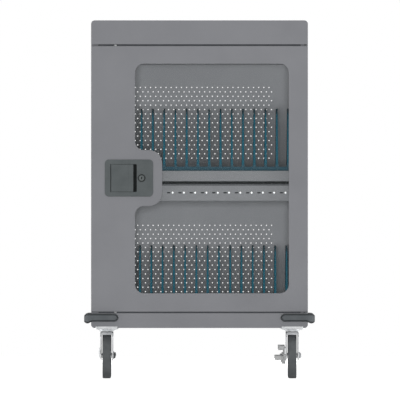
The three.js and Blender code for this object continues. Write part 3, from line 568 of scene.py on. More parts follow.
round_edges(block, 12.4, 8, arm_end)
bpy.ops.mesh.select_all(action="SELECT")
bpy.ops.mesh.remove_doubles(threshold=0.3 * MM)
pick_faces(block, outward)
bpy.ops.mesh.region_to_loop()
bpy.ops.mesh.bevel(offset=2.8 * MM, segments=4, affect="EDGES")
pick_faces(block, outward)
for width, rise in ((0.4, 0), (0.4, -1.4), (0.6, 0), (0.4, 1.4)):
    bpy.ops.mesh.inset(thickness=width * MM, depth=rise * MM)
shape = bmesh.from_edit_mesh(block.data)
for face in shape.faces:
    face.material_index = 1 if face.select else 0
bmesh.update_edit_mesh(block.data)
for across in ((1, 0, 0), (0, 1, 0)):
    bpy.ops.mesh.select_all(action="SELECT")
    bpy.ops.mesh.bisect(plane_co=(-4.9 * MM, -4.9 * MM, 0), plane_no=across)
object_mode()
smooth(block, 40)
quarter_turns = {"rear_right": 0, "rear_left": 1, "front_left": 2, "front_right": 3}
for tag, turns in quarter_turns.items():
    corner = Vector((side if "right" in tag else -side, rear if "rear" in tag else front, 0)) * MM
    bumper = copy_to(block, f"bumper_block_{tag}")
    bumper.data.transform(Matrix.Translation(corner) @ Matrix.Rotation(turns * math.pi / 2, 4, "Z"))
    for point in bumper.data.vertices:
        beyond, height = abs(point.co.x) / MM - side, point.co.z / MM
        if height < 168:
            ramp = min(max((beyond + 4) / 14, 0), 1)
            height += 2.7 - 5.2 * ramp * ramp * (3 - 2 * ramp)
        roundness = min(max((beyond - 8) / 11.4, 0), 1) * 0.75
        point.co.z = (166.6 + (height - 166.6) * math.sqrt(1 - roundness**2)) * MM
    dress(bumper, None, "bumper_rubber", "cabinet", f"bumper_{tag}")
bpy.data.objects.remove(block)

# Side panels
# Powder-coated steel sheets folded into shallow channels, one for each side, that stand between
# base and hood. Their front flanges close the gap behind the door's edges.
panel_low, panel_high = 181.8, 925.7
flange, side_front, side_rear = 20, -202, 222.7
for hand, sign in (("left", -1), ("right", 1)):
    outer, inner, lip = sign * side, sign * (side - sheet), sign * (side - flange)
    fold = [
        (outer, side_front, 2.4), (lip, side_front, 0), (lip, side_front + sheet, 0),
        (inner, side_front + sheet, 0.4), (inner, side_rear - sheet, 0.4), (lip, side_rear - sheet, 0),
        (lip, side_rear, 0), (outer, side_rear, 2.4)
    ]
    panel = plate(f"side_sheet_{hand}", rounded(fold, 4), "z", panel_low, panel_high)
    soften(panel, 0.4, angle=50)
    dress(panel, powder, "powder_coat", "cabinet", f"{hand}_side_panel")

# Rear panel
# A flat sheet across the back, punched with two fields of staggered round holes that let warm air
# out and screwed on along its edges. Its inner coat is painted paler than the outer coat, as painted
# light on the inside, and darker low down behind the racks, as painted shade between the fins.
hole_pitch, row_gap, hole_radius = 14.374, 12.344, 1.7
half_pitch, half_row = hole_pitch / 2, row_gap / 2
upright = (math.pi / 2, 0, 0)
choose()
bpy.ops.mesh.primitive_circle_add(
    vertices=8, radius=hole_radius * MM, location=(0, rear * MM, 0), rotation=upright
)
cell = settle("hole_cell")
edit(cell, "VERT")
bpy.ops.mesh.select_all(action="SELECT")
push(0, 0, 0)
shape = bmesh.from_edit_mesh(cell.data)
for corner in shape.verts:
    if corner.select:
        corner.co.x = round(corner.co.x / (hole_radius * MM)) * half_pitch * MM
        corner.co.z = round(corner.co.z / (hole_radius * MM)) * half_row * MM
bmesh.update_edit_mesh(cell.data)
object_mode()


def punched_row(name, count):
    row = copy_to(cell, name, x=-(count - 1) * half_pitch)
    repeat = row.modifiers.new("repeat", "ARRAY")
    repeat.count = count
    repeat.use_relative_offset = False
    repeat.use_constant_offset = True
    repeat.constant_offset_displace = (hole_pitch * MM, 0, 0)
    apply(row, repeat)
    return row


wide_row = punched_row("wide_row", 29)
narrow_row = punched_row("narrow_row", 28)
blanks = []
for sign in (-1, 1):
    choose()
    place = (sign * 28.5 * half_pitch * MM, rear * MM, 0)
    bpy.ops.mesh.primitive_grid_add(
        x_subdivisions=1, y_subdivisions=2, size=1, location=place, rotation=upright
    )
    bpy.context.object.scale = (half_pitch * MM, row_gap * MM, 1)
    blanks.append(settle("row_end"))
narrow_row = join("narrow_row", [narrow_row, *blanks])
rows = []
upper_row, lower_row = 809.1, 424.1
for top_row, first in ((upper_row, 1), (lower_row, 0)):
    for step in range(17):
        row = narrow_row if (step + first) % 2 else wide_row
        rows.append(copy_to(row, "row", z=top_row - step * row_gap))
for spare in (cell, wide_row, narrow_row):
    bpy.data.objects.remove(spare)
back = join("rear_punched_sheet", rows)
bpy.ops.object.mode_set(mode="EDIT")
bpy.ops.mesh.select_all(action="SELECT")
bpy.ops.mesh.remove_doubles(threshold=1e-5)
field_side = 29 * half_pitch
for sign in (-1, 1):
    pick_edges(back, lambda m, d: sign * m.x > field_side - 0.1)
    push(sign * (side - field_side), 0, 0)
field_top = upper_row + half_row
lower_top = lower_row + half_row
upper_bottom = upper_row - 16 * row_gap - half_row
lower_bottom = lower_row - 16 * row_gap - half_row
for level, target in ((field_top, panel_high), (lower_top, upper_bottom), (lower_bottom, panel_low)):
    pick_edges(back, lambda m, d: abs(m.z - level) < 0.1 and d.x > 0.9)
    push(0, 0, target - level)
bpy.ops.mesh.select_all(action="SELECT")
bpy.ops.mesh.remove_doubles(threshold=1e-5)
bpy.ops.mesh.normals_make_consistent(inside=False)
object_mode()
if back.data.polygons[0].normal.y < 0:
    back.data.flip_normals()
wall(back, sheet)
smooth(back, 50)
dress(back, powder, "powder_coat", "cabinet", "rear_panel")


# Multiplies a material's colour by a ramp over height; here it paints shade on the rear panel's inner
# coat and on the racks.
def graded(made, low, high, shades):
    tree = made.node_tree
    place = add(tree, "TexCoord").outputs["Object"]
    height = add(tree, "SeparateXYZ", Vector=place).outputs["Z"]
    rise = add(tree, "MapRange", Value=height, From_Min=low * MM, From_Max=high * MM)
    shade = add(tree, "ValToRGB", Fac=rise.outputs["Result"])
    stops = shade.color_ramp.elements
    stops[0].color, stops[1].color = linear(*shades[0][1]), linear(*shades[-1][1])
    for level, colour in shades[1:-1]:
        stops.new((level - low) / (high - low)).color = linear(*colour)
    blend = add(tree, "Mix")
    blend.data_type = "RGBA"
    blend.blend_type = "MULTIPLY"
    tint = tree.nodes["tint"].outputs["Color"]
    wire(tree, blend, Factor=1, A=shade.outputs["Color"], B=tint)
    wire(tree, tree.nodes["Principled BSDF"], Base_Color=blend.outputs["Result"])


shelf_tops = {"upper": 576, "lower": 196.5}
# Painted light and shade: the inner coat is lighter than the outer powder coat, standing in for light
# inside the cabinet, and darkens towards each shelf behind the fins.
lit_and_shaded_inner_coat = finish("painted_light_and_shade_inner_coat", (160, 162, 166), (166, 168, 172), 0.9, 0.55, 0.12)
painted_shade_stops = []
for ground in (shelf_tops["lower"], shelf_tops["upper"]):
    for rise, grey in ((0, 222), (40, 222), (80, 230), (125, 237), (150, 255), (349.7, 255)):
        painted_shade_stops.append((ground + rise, (grey, grey, grey)))
graded(lit_and_shaded_inner_coat, shelf_tops["lower"], panel_high, painted_shade_stops)
coat(lit_and_shaded_inner_coat, back)
for face in back.data.polygons:
    if face.normal.y < -0.5:
        face.material_index = 1

head_profile = [(0, 0), (4.1, 0), (4.3, 0.5), (3.9, 1.6), (2.9, 2.3), (1.6, 2.6), (0, 2.7)]
screw_head = turned("screw_head", head_profile, "y", (0, 0, 0), 24)
for wide, tall in ((0.5, 2.3), (2.3, 0.5)):
    trim(screw_head, box("recess", (-wide, 1.3, -tall), (wide, 4, tall)))
smooth(screw_head)
places = [(x, z) for x in (-290, 290) for z in (200, 318, 436, 554, 672, 790, 908)]
places += [(x, z) for x in (-170, 0, 170) for z in (190, 917)]
heads = [copy_to(screw_head, "head", x, rear, z) for x, z in places]
dress(join("rear_panel_screws", heads), zinc, "zinc_steel", "cabinet")

# Shelves
# Two steel shelves with all four edges folded down. The upper one hangs between the side panels,
# the lower one stands on the base.
shelf_half, shelf_front, shelf_rear = 297.7, -172, 220.4
# Painted light: shelves and hubs take a lighter copy of the grey powder coat, standing in for light
# inside the cabinet.
inside_grey_painted_light = finish("inside_grey_painted_light_coat", (138, 140, 143), (144, 146, 149), 0.8, 0.55, 0.12)
for deck, drop in (("upper", 29), ("lower", 14.7)):
    top = shelf_tops[deck]
    shelf_low, shelf_high = (-shelf_half, shelf_front, top - drop), (shelf_half, shelf_rear, top)
    tray = box(f"shelf_deck_{deck}", shelf_low, shelf_high)
    open_up(tray, lambda c, n: n.z < -0.9)
    round_edges(tray, 2.6, 4, lambda m, d: m.z > top - 1)
    wall(tray, sheet)
    smooth(tray)
    dress(tray, inside_grey_painted_light, "powder_coat", "cabinet", f"shelf_{deck}")

# Charging hubs
# Folded steel trays across the cabinet above each row of bays. Their front faces are punched with
# one socket slot and one round light hole for each bay.
bay_pitch, first_bay, bays = 31.26, -223.1, 15
hub_front, hub_rear, hub_height, hub_face = -170, -10, 48.4, 43
port_rise, light_shift = 23.4, 11
bar_left = first_bay - 3
bar_right = bar_left + bays * bay_pitch
bay_middles = [bar_left + (bay + 0.5) * bay_pitch for bay in range(bays)]
hub_floors = {"upper": 871.1, "lower": 491.6}
for deck, bottom in hub_floors.items():
    level, hub_top = bottom + port_rise, bottom + hub_height
    tray = box(f"hub_tray_{deck}", (-shelf_half, hub_front, bottom), (shelf_half, hub_rear, hub_top))
    open_up(tray, lambda c, n: n.z > 0.9)
    round_edges(tray, 2.4, 3, lambda m, d: m.z < bottom + 1 and d.x > 0.9)
    wall(tray, sheet)
    punch_start, punch_end = hub_front - 1, hub_front + sheet + 1
    cut_low = (sheet - shelf_half, punch_start, bottom + hub_face)
    trim(tray, box("face_top", cut_low, (shelf_half - sheet, punch_end, hub_top + 1)))
    punches = []
    for x in bay_middles:
        slot = rectangle(x - 4.8, x + 4.8, level - 1.9, level + 1.9, 1.85, 4)
        punches.append(plate("slot_punch", slot, "y", punch_start, punch_end))
        eye_x = x + light_shift
        eye = rectangle(eye_x - 2.6, eye_x + 2.6, level - 2.6, level + 2.6, 2.59, 4)
        punches.append(plate("light_punch", eye, "y", punch_start, punch_end))
    trim(tray, join("punches", punches))
    smooth(tray)
    dress(tray, inside_grey_painted_light, "hub_coat", "cabinet", f"hub_housing_{deck}")

# Charging sockets
# A black plastic bar behind each hub face carries fifteen small oval sockets. Each has a thin
# shell round a dark well and a flat contact tongue in the middle.
socket_black = finish("socket_black_plastic", (38, 40, 43), (48, 50, 53), 0.4, 0.4, 0.1, cloud=60)
for deck, bottom in hub_floors.items():
    level = bottom + port_rise
    carrier_low = (bar_left, hub_front + 5.6, level - 7.5)
    carrier = box("socket_carrier", carrier_low, (bar_right, hub_front + 13.6, level + 7.5))
    sockets = [soften(carrier, 0.6)]
    for x in bay_middles:
        shell = rectangle(x - 4.5, x + 4.5, level - 1.6, level + 1.6, 1.55, 4)
        port = plate("socket_shell", shell, "y", hub_front + 0.3, hub_front + 6)
        pick_faces(port, lambda c, n: n.y < -0.9)
        bpy.ops.mesh.inset(thickness=0.4 * MM)
        push(0, 4.2, 0)
        object_mode()
        tongue_low = (x - 3.1, hub_front + 1, level - 0.35)
        tongue = box("socket_tongue", tongue_low, (x + 3.1, hub_front + 5, level + 0.35))
        round_edges(tongue, 0.15, 1, lambda m, d: m.y < hub_front + 2)
        object_mode()
        sockets += [port, tongue]
    row = join(f"socket_row_{deck}", sockets)
    dress(row, socket_black, "dark_plastic", "cabinet", f"port_bar_{deck}")

# Hub covers
# A folded dark grey rail along the front of each hub and, behind it, a black moulded cover, put
# there as painted shade: only their front edges show, as the shade in the gap under the shelf.
shade_rail_grey = finish("hub_rail_painted_shade", (90, 92, 95), (96, 98, 101), 0.8, 0.55, 0.1)
shade_black_tints = (22, 23, 24), (28, 29, 30)
shade_cover_black = finish("painted_shade_cover_black", *shade_black_tints, 0.4, 0.6, 0.1, cloud=60, gloss=0.1)
for deck, bottom in hub_floors.items():
    cover_low = (-291, hub_front + 20, bottom + 30)
    cover = box(f"hub_shade_cover_{deck}", cover_low, (291, hub_rear - 6, bottom + 53))
    pick_faces(cover, lambda c, n: n.z > 0.9)
    bpy.ops.mesh.inset(thickness=9 * MM, depth=0)
    push(0, 0, -6)
    soften(cover, 1.5, 3)
    dress(cover, shade_cover_black, "dark_plastic", "cabinet")
    rail_front, rail_top = hub_front + 5, bottom + 48.2
    rail_low = (-295.4, rail_front, bottom + 38)
    rail = box(f"hub_rail_{deck}", rail_low, (295.4, rail_front + 12, rail_top))
    open_up(rail, lambda c, n: n.y > 0.9 or n.z < -0.9 or abs(n.x) > 0.9)
    round_edges(rail, 2, 3, lambda m, d: m.y < rail_front + 1 and m.z > rail_top - 1)
    wall(rail, 1.5)
    smooth(rail)
    dress(rail, shade_rail_grey, "hub_coat", "cabinet")

# Charge lights
# Moulded clear light pipes with one domed lens in each round hole of the hub face, glowing white.
lens_white = finish("charge_light_lens", (236, 240, 242), (250, 252, 252), 0.5, 0.25, 0.05, cloud=200)
lens_tree = lens_white.node_tree
lens_shader = lens_tree.nodes["Principled BSDF"]
wire(lens_tree, lens_shader, Emission_Color=(1, 1, 1, 1), Emission_Strength=0.9)
lens_profile = [(0, -1.0), (0.9, -0.9), (1.7, -0.55), (2.3, 0.1), (2.35, 1), (2.35, 5), (0, 5)]
for deck, bottom in hub_floors.items():
    level = bottom + port_rise
    pipe_low = (bar_left, hub_front + 2.3, level + 7)
    pipe = box("light_rail", pipe_low, (bar_right, hub_front + 5.3, level + 13))
    lights = [soften(pipe, 0.6)]
    for x in (middle + light_shift for middle in bay_middles):
        lights.append(smooth(turned("light_lens", lens_profile, "y", (x, hub_front, level), 16)))
        leg_low, leg_high = (x - 1.8, hub_front + 2.6, level + 0.5), (x + 1.8, hub_front + 5, level + 8)
        lights.append(soften(box("light_leg", leg_low, leg_high), 0.4))
    row = join(f"charge_lights_{deck}", lights)
    dress(row, lens_white, "light_pipe", "cabinet", f"light_pipe_{deck}")

# Divider racks
# Injection-moulded teal plastic combs, three to a shelf: a shallow foot with tall fins that taper
# from a flared root to a thin rounded top. Each fin keeps one laptop upright.
fin_height, foot_height, rack_front, rack_rear = 172, 11, -168, 195
# Painted shade: the teal is darkened at the foot and root of the fins and along their rounded tops.
teal_painted_shades = (
    (0, (32, 64, 75)), (5.2, (46, 79, 92)), (12, (54, 87, 101)), (20.6, (30, 94, 112)),
    (60.2, (20, 94, 113)), (153.1, (17, 86, 104)), (160, (26, 66, 78)), (172, (28, 56, 66))
)
flare = [(7, 11), (5.2, 11.5), (4.2, 12.9), (3.7, 16), (3.3, 23), (2.2, fin_height)]
cloud_tints = (247, 247, 247), (255, 255, 255)
for deck, shift in (("upper", 0), ("lower", -4.4)):
    ground = shelf_tops[deck]
    foot, knee, top = ground + foot_height, ground + 23, ground + fin_height
    teal_name = f"teal_rack_plastic_{deck}"
    teal = finish(teal_name, *cloud_tints, 0.6, 0.62, 0.12, cloud=25, gloss=0.1)
    graded(teal, ground, top, [(ground + rise, shade) for rise, shade in teal_painted_shades])
    for module in range(3):
        left = first_bay + shift + module * 5 * bay_pitch
        last = module == 2
        start = left - 3.2 + (0.3 if module else 0)
        end = left + 5 * bay_pitch + (3.2 if last else -3.2)
        comb = [(start, ground), (end, ground)]
        if not last:
            comb.append((end, foot))
        for fin in reversed(range(6 if last else 5)):
            x = left + fin * bay_pitch
            right_side = [(x + a, ground + b) for a, b in flare]
            left_side = [(x - a, ground + b) for a, b in reversed(flare)]
            if last and fin == 5:
                right_side = [(end, foot), (x + 3.1, knee), (x + 2.2, top)]
            if fin == 0:
                left_side = [(x - 2.2, top), (x - 2.85, knee), (start, foot)]
            comb += right_side + left_side
        rack = plate(f"laptop_rack_{deck}_{module + 1}", comb, "y", rack_front, rack_rear)
        fin_side = [
            (rack_front, ground, 0), (rack_rear, ground, 0), (rack_rear, top, 36), (rack_front, top, 36)
        ]
        sides = plate("fin_sides", rounded(fin_side, 9), "x", start - 5, end + 5)
        trim(rack, sides, "INTERSECT")
        soften(rack, 0.6, angle=50)
        dress(rack, teal, "rack_plastic", "cabinet", f"divider_rack_{deck}_{module + 1}")

# Top hood
# The lid of the cart, folded like the base but turned over, with deeper walls. A return along its
# lower front edge takes the door's upper pivot and the upper latch rod.
hood = fold_tray("hood_shell", 926, 992)
soften(hood, 0.7)
dress(hood, powder, "powder_coat", "cabinet", "top_hood")

# Door gap strips (painted shade)
# Two strips of dark grey foam rubber, stuck under the hood's return and on the base's return behind
# the door's upper and lower edges. Their colour is painted shade: it stands in for the shade seen in
# the gaps above and below the door.
shade_strips = []
for low, high in ((base_top, 191), (916, 926)):
    shade_strip = plate("gap_shade_strip", rectangle(-279.5, 279.5, low, high, 2), "y", -203.4, -200)
    shade_strips.append(soften(shade_strip, 0.5))
gap_shade_look = finish("gap_shade_foam", (86, 88, 92), (94, 96, 100), 0.8, 0.8, 0.3, cloud=60, gloss=0.1)
dress(join("door_gap_shade_strips", shade_strips), gap_shade_look, "bumper_rubber", "cabinet")

# Door
# One sheet folded back round its four edges, with a large window whose left side steps round the
# lock. Small steel clips screwed to its back hold the window pane.
door_low, door_high, door_back = 185.5, 921, -205
lock_x, lock_z = -195.15, 555.5


def window_outline(grow):
    left, right, bottom, top = -178.5 - grow, 247.2 + grow, 236.6 - grow, 872.3 + grow
    tab_x, tab_low, tab_high = -103.4 - grow, 478.3 + grow, 632.7 - grow
    outer, nose = 25 + grow, 36 - grow
    outline = [
        (left, bottom, outer), (right, bottom, outer), (right, top, outer), (left, top, outer),
        (left, tab_high, outer), (tab_x, tab_high, nose), (tab_x, tab_low, nose), (left, tab_low, outer)
    ]
    return rounded(outline, 10)


door = box("door_sheet", (-side, front, door_low), (side, door_back, door_high))
open_up(door, lambda c, n: n.y > 0.9)
round_edges(door, 1.8, 4, lambda m, d: m.y < front + 1)
wall(door, sheet)
trim(door, plate("window_cut", window_outline(0), "y", front - 3, front + 5))
lock_hole = rectangle(lock_x - 58, lock_x + 58, lock_z - 44.5, lock_z + 44.5, 2)
trim(door, plate("lock_cut", lock_hole, "y", front - 3, front + 5))
for level in (door_low, door_high):
    drill(door, 4.5, "z", rod_place, level - 4, level + 4)
    drill(door, 3.5, "z", pivot_place, level - 4, level + 4)
soften(door, 0.3, angle=50)
dress(door, powder, "powder_coat", "door", "door_panel")

clip_places = [(x, z) for x in (-120, 34, 190) for z in (225.6, 883.3)]
clip_places += [(x, z) for x in (-189.5, 258.2) for z in (320, 780)] + [(258.2, 555)]
clips = []
for x, z in clip_places:
    wide, tall = (5, 12) if abs(x) > 180 and 230 < z < 880 else (12, 5)
    clip_outline = rectangle(x - wide, x + wide, z - tall, z + tall, 2)
    clip = soften(plate("pane_clip", clip_outline, "y", -219.6, -218.2), 0.3)
    clips += [clip, copy_to(screw_head, "clip_screw", x, -218.3, z)]
dress(join("pane_clips", clips), zinc, "zinc_steel", "door")

# Window pane
# A clear acrylic sheet behind the door's window, cut to the same stepped outline with a margin.
pane = plate("window_sheet", window_outline(12), "y", -222.7, -219.7)
soften(pane, 0.4, angle=50)
acrylic = finish("clear_acrylic", (112, 120, 121), (122, 130, 131), 3.0, 0.12, 0.01, cloud=3)
acrylic.node_tree.nodes["Principled BSDF"].inputs["Alpha"].default_value = 0.05
acrylic.surface_render_method = "BLENDED"
dress(pane, acrylic, "window_clear", "door", "window_pane")

# Lock
# A moulded grey lock on the door's left: a face plate with a deep pocket for the fingers, and the
# case behind the sheet. The field round the key is sunk a little below the rest of the plate.
grey_tints, shade_dark_tints = ((86, 91, 92), (94, 99, 100)), ((30, 33, 33), (38, 41, 41))
lock_grey = finish("lock_grey_plastic", *grey_tints, 0.5, 0.6, 0.2, cloud=30, gloss=0.2)
# Painted shade: this dark copy of the lock plastic goes on the pocket's walls and floor and in the
# keyway.
lock_recess_shade = finish("lock_recess_painted_shade", *shade_dark_tints, 0.5, 0.68, 0.15, cloud=30, gloss=0.2)
face_y, key_x, pintle = -229.3, -160.2, (-242.8, -225)
face_outline = rectangle(lock_x - 66.85, lock_x + 66.85, lock_z - 51.25, lock_z + 51.25, 11, 8)
escutcheon = plate("lock_escutcheon", face_outline, "y", face_y, -225.3)
round_edges(escutcheon, 1.6, 4, lambda m, d: m.y < face_y + 0.1)
object_mode()
case = box("lock_case", (lock_x - 57, -226, lock_z - 43.5), (lock_x + 57, -185, lock_z + 43.5))
trim(escutcheon, case, "UNION")
pocket_low, pocket_high = lock_z - 38.55, lock_z + 38.55
pocket_left, pocket_right = -246.6, -173.7
pocket = [
    (pocket_left, pocket_low, 0), (pocket_right, pocket_low, 2.5), (pocket_right, pocket_high, 2.5),
    (pocket_left, pocket_high, 0)
]
trim(escutcheon, plate("paddle_pocket", rounded(pocket, 4), "y", -232, -216))
finger_room = rectangle(-213.7, pocket_right, pocket_low, pocket_high, 2.5, 4)
trim(escutcheon, plate("finger_pocket", finger_room, "y", -218, -199))
key_field = rectangle(-168.8, -139.6, lock_z - 39, lock_z + 39, 4, 4)
trim(escutcheon, plate("key_field", key_field, "y", -232, face_y + 0.5))
drill(escutcheon, 11, "y", (key_x, lock_z), -232, -183)
for low, high in ((lock_z + 18.5, lock_z + 45), (lock_z - 45, lock_z - 18.5)):
    drill(escutcheon, 4.5, "z", rod_place, low, high)
drill(escutcheon, 1.7, "z", pintle, lock_z - 41.4, lock_z + 41.4)
soften(escutcheon, 0.35, angle=50)
dress(escutcheon, lock_grey, "lock_plastic", "door", "lock_body")
# The pocket faces take the dark colour, a painted shade.
coat(lock_recess_shade, escutcheon)
for face in escutcheon.data.polygons:
    c = face.center / MM
    if -246.5 < c.x < -173 and abs(c.z - lock_z) < 38.7 and -228.6 < c.y < -198:
        face.material_index = 1

# Lock paddle
# The pull handle in the lock's pocket, hinged on a pintle along its left edge, which is rounded to
# turn clear of the pocket. Its face is plain, with a shallow line where the finger grip begins.
paddle = box("paddle_plate", (-245.6, -229.6, lock_z - 37.75), (-182.9, -224.6, lock_z + 37.75))
for rounding, low, high in ((1.8, -183.5, -182), (3.4, -246, -245)):
    round_edges(paddle, rounding, 5, lambda m, d: low < m.x < high and m.y < -229)
    object_mode()
trim(paddle, box("grip_line", (-196.4, -231, lock_z - 39), (-195.2, -229.25, lock_z + 39)))
soften(paddle, 0.5)
half_barrel = [(0, 40.75), (1.5, 40.75), (1.5, 37.4), (3, 37.4)]
barrel_profile = [(radius, lock_z - rise) for radius, rise in half_barrel]
barrel_profile += [(radius, lock_z + rise) for radius, rise in reversed(half_barrel)]
barrel = smooth(turned("paddle_barrel", barrel_profile, "z", (*pintle, 0), 24))
dress(join("paddle_handle", [paddle, barrel]), lock_grey, "lock_plastic", "paddle", "lock_paddle")

# Key cylinder and plug
# A pressed ring in the lock face with a dark groove, and the turning plug with its keyway. Behind
# the case the plug carries a flat steel cam that moves both latch rods.
key_centre = (key_x, front, lock_z)
ring_profile = [
    (7, -4.1), (8.4, -4.1), (8.6, -3.2), (9.4, -3.2), (9.6, -4.3), (10.2, -4.5), (10.5, -4.1),
    (10.5, 40.3), (7, 40.3)
]
cylinder = smooth(turned("key_ring", ring_profile, "y", key_centre, 48))
ring_grey = finish("key_ring_metal", (46, 50, 50), (56, 60, 60), 0.4, 0.5, 0.1, cloud=90, gloss=0.2)
dress(cylinder, ring_grey, "lock_metal", "door", "lock_cylinder")
plug_profile = [(0, -5), (6.8, -5), (7.4, -4.7), (7.4, -4.25), (6.5, -4.2), (6.5, 43.8), (0, 43.8)]
plug = turned("plug_barrel", plug_profile, "y", key_centre, 40)
keyway_low = (key_x - 1.3, front - 7, lock_z - 3.2)
trim(plug, box("keyway", keyway_low, (key_x + 1.3, front + 6, lock_z + 3.2)))
smooth(plug)
cam_outline = rectangle(key_x - 20, key_x + 6, lock_z - 5, lock_z + 5, 4)
cam = soften(plate("key_cam", cam_outline, "y", -184.2, -181.2), 0.4)
plug_metal = finish("lock_plug_metal", (86, 92, 92), (98, 103, 103), 0.4, 0.5, 0.08, cloud=90)
key_plug = join("key_plug_and_cam", [plug, cam])
dress(key_plug, plug_metal, "lock_metal", "key", "key_plug")
# The keyway walls take the dark colour, a painted shade.
coat(lock_recess_shade, key_plug)
for face in key_plug.data.polygons:
    c = face.center / MM
    if abs(c.x - key_x) < 1.4 and abs(c.z - lock_z) < 3.3 and front - 4.9 < c.y < front + 7:
        face.material_index = 1

# Latch rods
# Plated round rods that slide up and down inside the door and shoot into the hood and the base.
# Each runs through two folded guides fixed to the back of the door.
# Painted highlight: the rods take a lighter, less metallic copy of the zinc, so their ends show bright
# in the door gaps.
rod_painted_highlight_zinc = finish("rod_painted_highlight_zinc", (206, 208, 209), (224, 226, 227), 0.4, 0.4, 0.04, 0.2, cloud=60)
rod_x, rod_y = rod_place
for rod_name, low, high in (("upper", 575, 925.2), ("lower", 182.3, 536)):
    rod_profile = [(0, low), (3, low), (4, low + 1.4), (4, high - 1.4), (3, high), (0, high)]
    rod = smooth(turned(f"lock_rod_{rod_name}", rod_profile, "z", (rod_x, rod_y, 0), 24))
    dress(rod, rod_painted_highlight_zinc, "zinc_steel", f"rod_{rod_name}", f"latch_rod_{rod_name}")
guides = []
for level in (250, 420, 690, 860):
    section = [(-239, -223, 0), (-239, -203.5, 4), (-226.6, -203.5, 4), (-226.6, -223, 0)]
    saddle = plate("rod_guide", rounded(section), "z", level - 6, level + 6)
    drill(saddle, 4.5, "z", rod_place, level - 8, level + 8)
    guides.append(soften(saddle, 0.5))
    for x in (-246.5, -219.1):
        ear_outline = rectangle(x - 8, x + 8, level - 6, level + 6, 2)
        ear = soften(plate("guide_ear", ear_outline, "y", -223, -221.6), 0.3)
        guides += [ear, copy_to(screw_head, "guide_screw", x, -221.7, level)]
dress(join("rod_guides", guides), zinc, "zinc_steel", "door")

# Door pivots
# Two plain steel pins at the right-hand corners, one under the hood and one on the base.
for node in ("door_pivot_upper", "door_pivot_lower"):
    frame["nodes"][node].data.materials.clear()
    coat(dark_steel, frame["nodes"][node])

# Power entry
# A black moulded inlet in the back wall of the base, with three blade contacts in its well and a
# rocker switch beside it. The lead plugs in here.
inlet_x, inlet_z = 150, 161
socket_x, rocker_x = 138, 165.5
flange_outline = rectangle(inlet_x - 29, inlet_x + 29, inlet_z - 15.5, inlet_z + 15.5, 3)
entry = plate("inlet_face", flange_outline, "y", 225.3, 228.3)
trim(entry, box("inlet_case", (124, 199, 148), (176, 226, 174)), "UNION")
well = [
    (socket_x - 12.25, inlet_z - 8.25, 2), (socket_x + 12.25, inlet_z - 8.25, 2),
    (socket_x + 12.25, inlet_z + 3.5, 1), (socket_x + 7.5, inlet_z + 8.25, 1),
    (socket_x - 7.5, inlet_z + 8.25, 1), (socket_x - 12.25, inlet_z + 3.5, 1)
]
trim(entry, plate("socket_well", rounded(well, 3), "y", 212.3, 230))
switch_low, switch_high = (rocker_x - 7.8, 214.3, inlet_z - 10.6), (rocker_x + 7.8, 230, inlet_z + 10.6)
trim(entry, box("switch_well", switch_low, switch_high))
soften(entry, 0.4)
dress(entry, socket_black, "dark_plastic", "cabinet", "power_inlet")
blades = []
for shift, rise in ((-7, -2), (0, 2), (7, -2)):
    x, z = socket_x + shift, inlet_z + rise
    blades.append(soften(box("inlet_blade", (x - 1, 212, z - 2), (x + 1, 225.3, z + 2)), 0.5))
dress(join("inlet_blades", blades), zinc, "dark_plastic", "cabinet")


def softened_copy(node, name, width):
    part = frame["nodes"][node].copy()
    part.data = part.data.copy()
    bpy.context.scene.collection.objects.link(part)
    part.parent = None
    part.name = name
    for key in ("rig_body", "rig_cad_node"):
        del part[key]
    choose(part)
    bpy.ops.object.mode_set(mode="EDIT")
    bpy.ops.mesh.select_all(action="SELECT")
    bpy.ops.mesh.remove_doubles(threshold=1e-6)
    bpy.ops.mesh.dissolve_limited(angle_limit=math.radians(2))
    return soften(part, width)


rocker = softened_copy("switch_rocker", "power_rocker", 0.6)
dress(rocker, socket_black, "dark_plastic", "rocker", "switch_rocker")

# Power supply
# The folded cover of the charging supply, galvanised steel, screwed to the floor of the base.
spangle_tints = (150, 153, 155), (186, 189, 191)
spangle = finish("galvanised_steel", *spangle_tints, 3.0, 0.4, 0.05, metal=0.8, cloud=120)
supply = softened_copy("power_supply", "supply_cover", 0.8)
dress(supply, spangle, "supply_metal", "cabinet", "power_supply")
bpy.data.objects.remove(screw_head)

# Stage
# A pale floor, an even white room and five soft lamps, with the camera straight ahead of the
# door. Floor and room are white where they are seen and dim as light on the cart.
choose()
bpy.ops.mesh.primitive_plane_add(size=14, location=(0, 0, 0))
floor = bpy.context.object
floor.name = "studio_floor"
floor_paint = bpy.data.materials.new("floor_paint")
floor_paint.use_nodes = True
floor_tree = floor_paint.node_tree


def larger(tree, first, second):
    node = add(tree, "Math")
    node.operation = "MAXIMUM"
    tree.links.new(first, node.inputs[0])
    tree.links.new(second, node.inputs[1])
    return node.outputs["Value"]


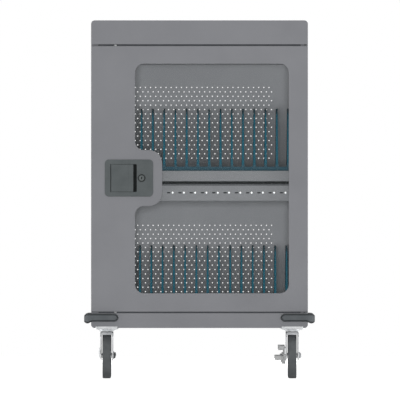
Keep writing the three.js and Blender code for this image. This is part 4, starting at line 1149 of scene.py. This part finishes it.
def glow_level(tree, unseen, seen):
    rays = add(tree, "LightPath").outputs
    direct = larger(tree, rays["Is Camera Ray"], rays["Is Glossy Ray"])
    through = larger(tree, direct, rays["Is Transmission Ray"])
    return add(tree, "MapRange", Value=through, To_Min=unseen, To_Max=seen).outputs["Result"]


wire(
    floor_tree, floor_tree.nodes["Principled BSDF"], Base_Color=(0.55, 0.55, 0.55, 1), Roughness=0.9,
    Emission_Color=(1, 1, 1, 1), Emission_Strength=glow_level(floor_tree, 0, 0.8)
)
coat(floor_paint, floor)

world = bpy.data.worlds.new("white_room")
bpy.context.scene.world = world
world.use_nodes = True
room = world.node_tree
backdrop = room.nodes["Background"]
wire(room, backdrop, Color=(1, 1, 1, 1), Strength=glow_level(room, 0.2, 1))

cart_middle = Vector((0, 0, 0.5))
lamps = (
    ("front_softbox", (0.0, -14.0, 0.45), 1.5, 1150, False),
    ("rear_softbox", (1.2, 6.0, 1.8), 2.6, 220, False),
    ("top_softbox", (0.4, -0.6, 4.2), 2.6, 40, True),
    ("left_softbox", (-6.0, 0.6, 1.6), 2.6, 140, True),
    ("right_softbox", (6.0, 0.6, 1.6), 2.6, 140, True)
)
for name, place, size, power, mirrored in lamps:
    light = bpy.data.lights.new(name, "AREA")
    light.shape = "SQUARE"
    light.size = size
    light.energy = power
    lamp = bpy.data.objects.new(name, light)
    bpy.context.scene.collection.objects.link(lamp)
    lamp.location = place
    lamp.rotation_euler = (cart_middle - Vector(place)).to_track_quat("-Z", "Y").to_euler()
    lamp.visible_glossy = mirrored

view_distance, view_height, view_width = 50.0, 0.4948, 1.1119
lens = bpy.data.cameras.new("front_view")
lens.sensor_width = 36
lens.lens = 36 * view_distance / view_width
lens.clip_end = 80
eye = bpy.data.objects.new("front_view", lens)
bpy.context.scene.collection.objects.link(eye)
eye.location = (0.0014, -view_distance, view_height)
eye.rotation_euler = (math.pi / 2, 0, 0)
bpy.context.scene.camera = eye
bpy.context.scene.view_settings.view_transform = "Standard"

bpy.context.view_layer.update()
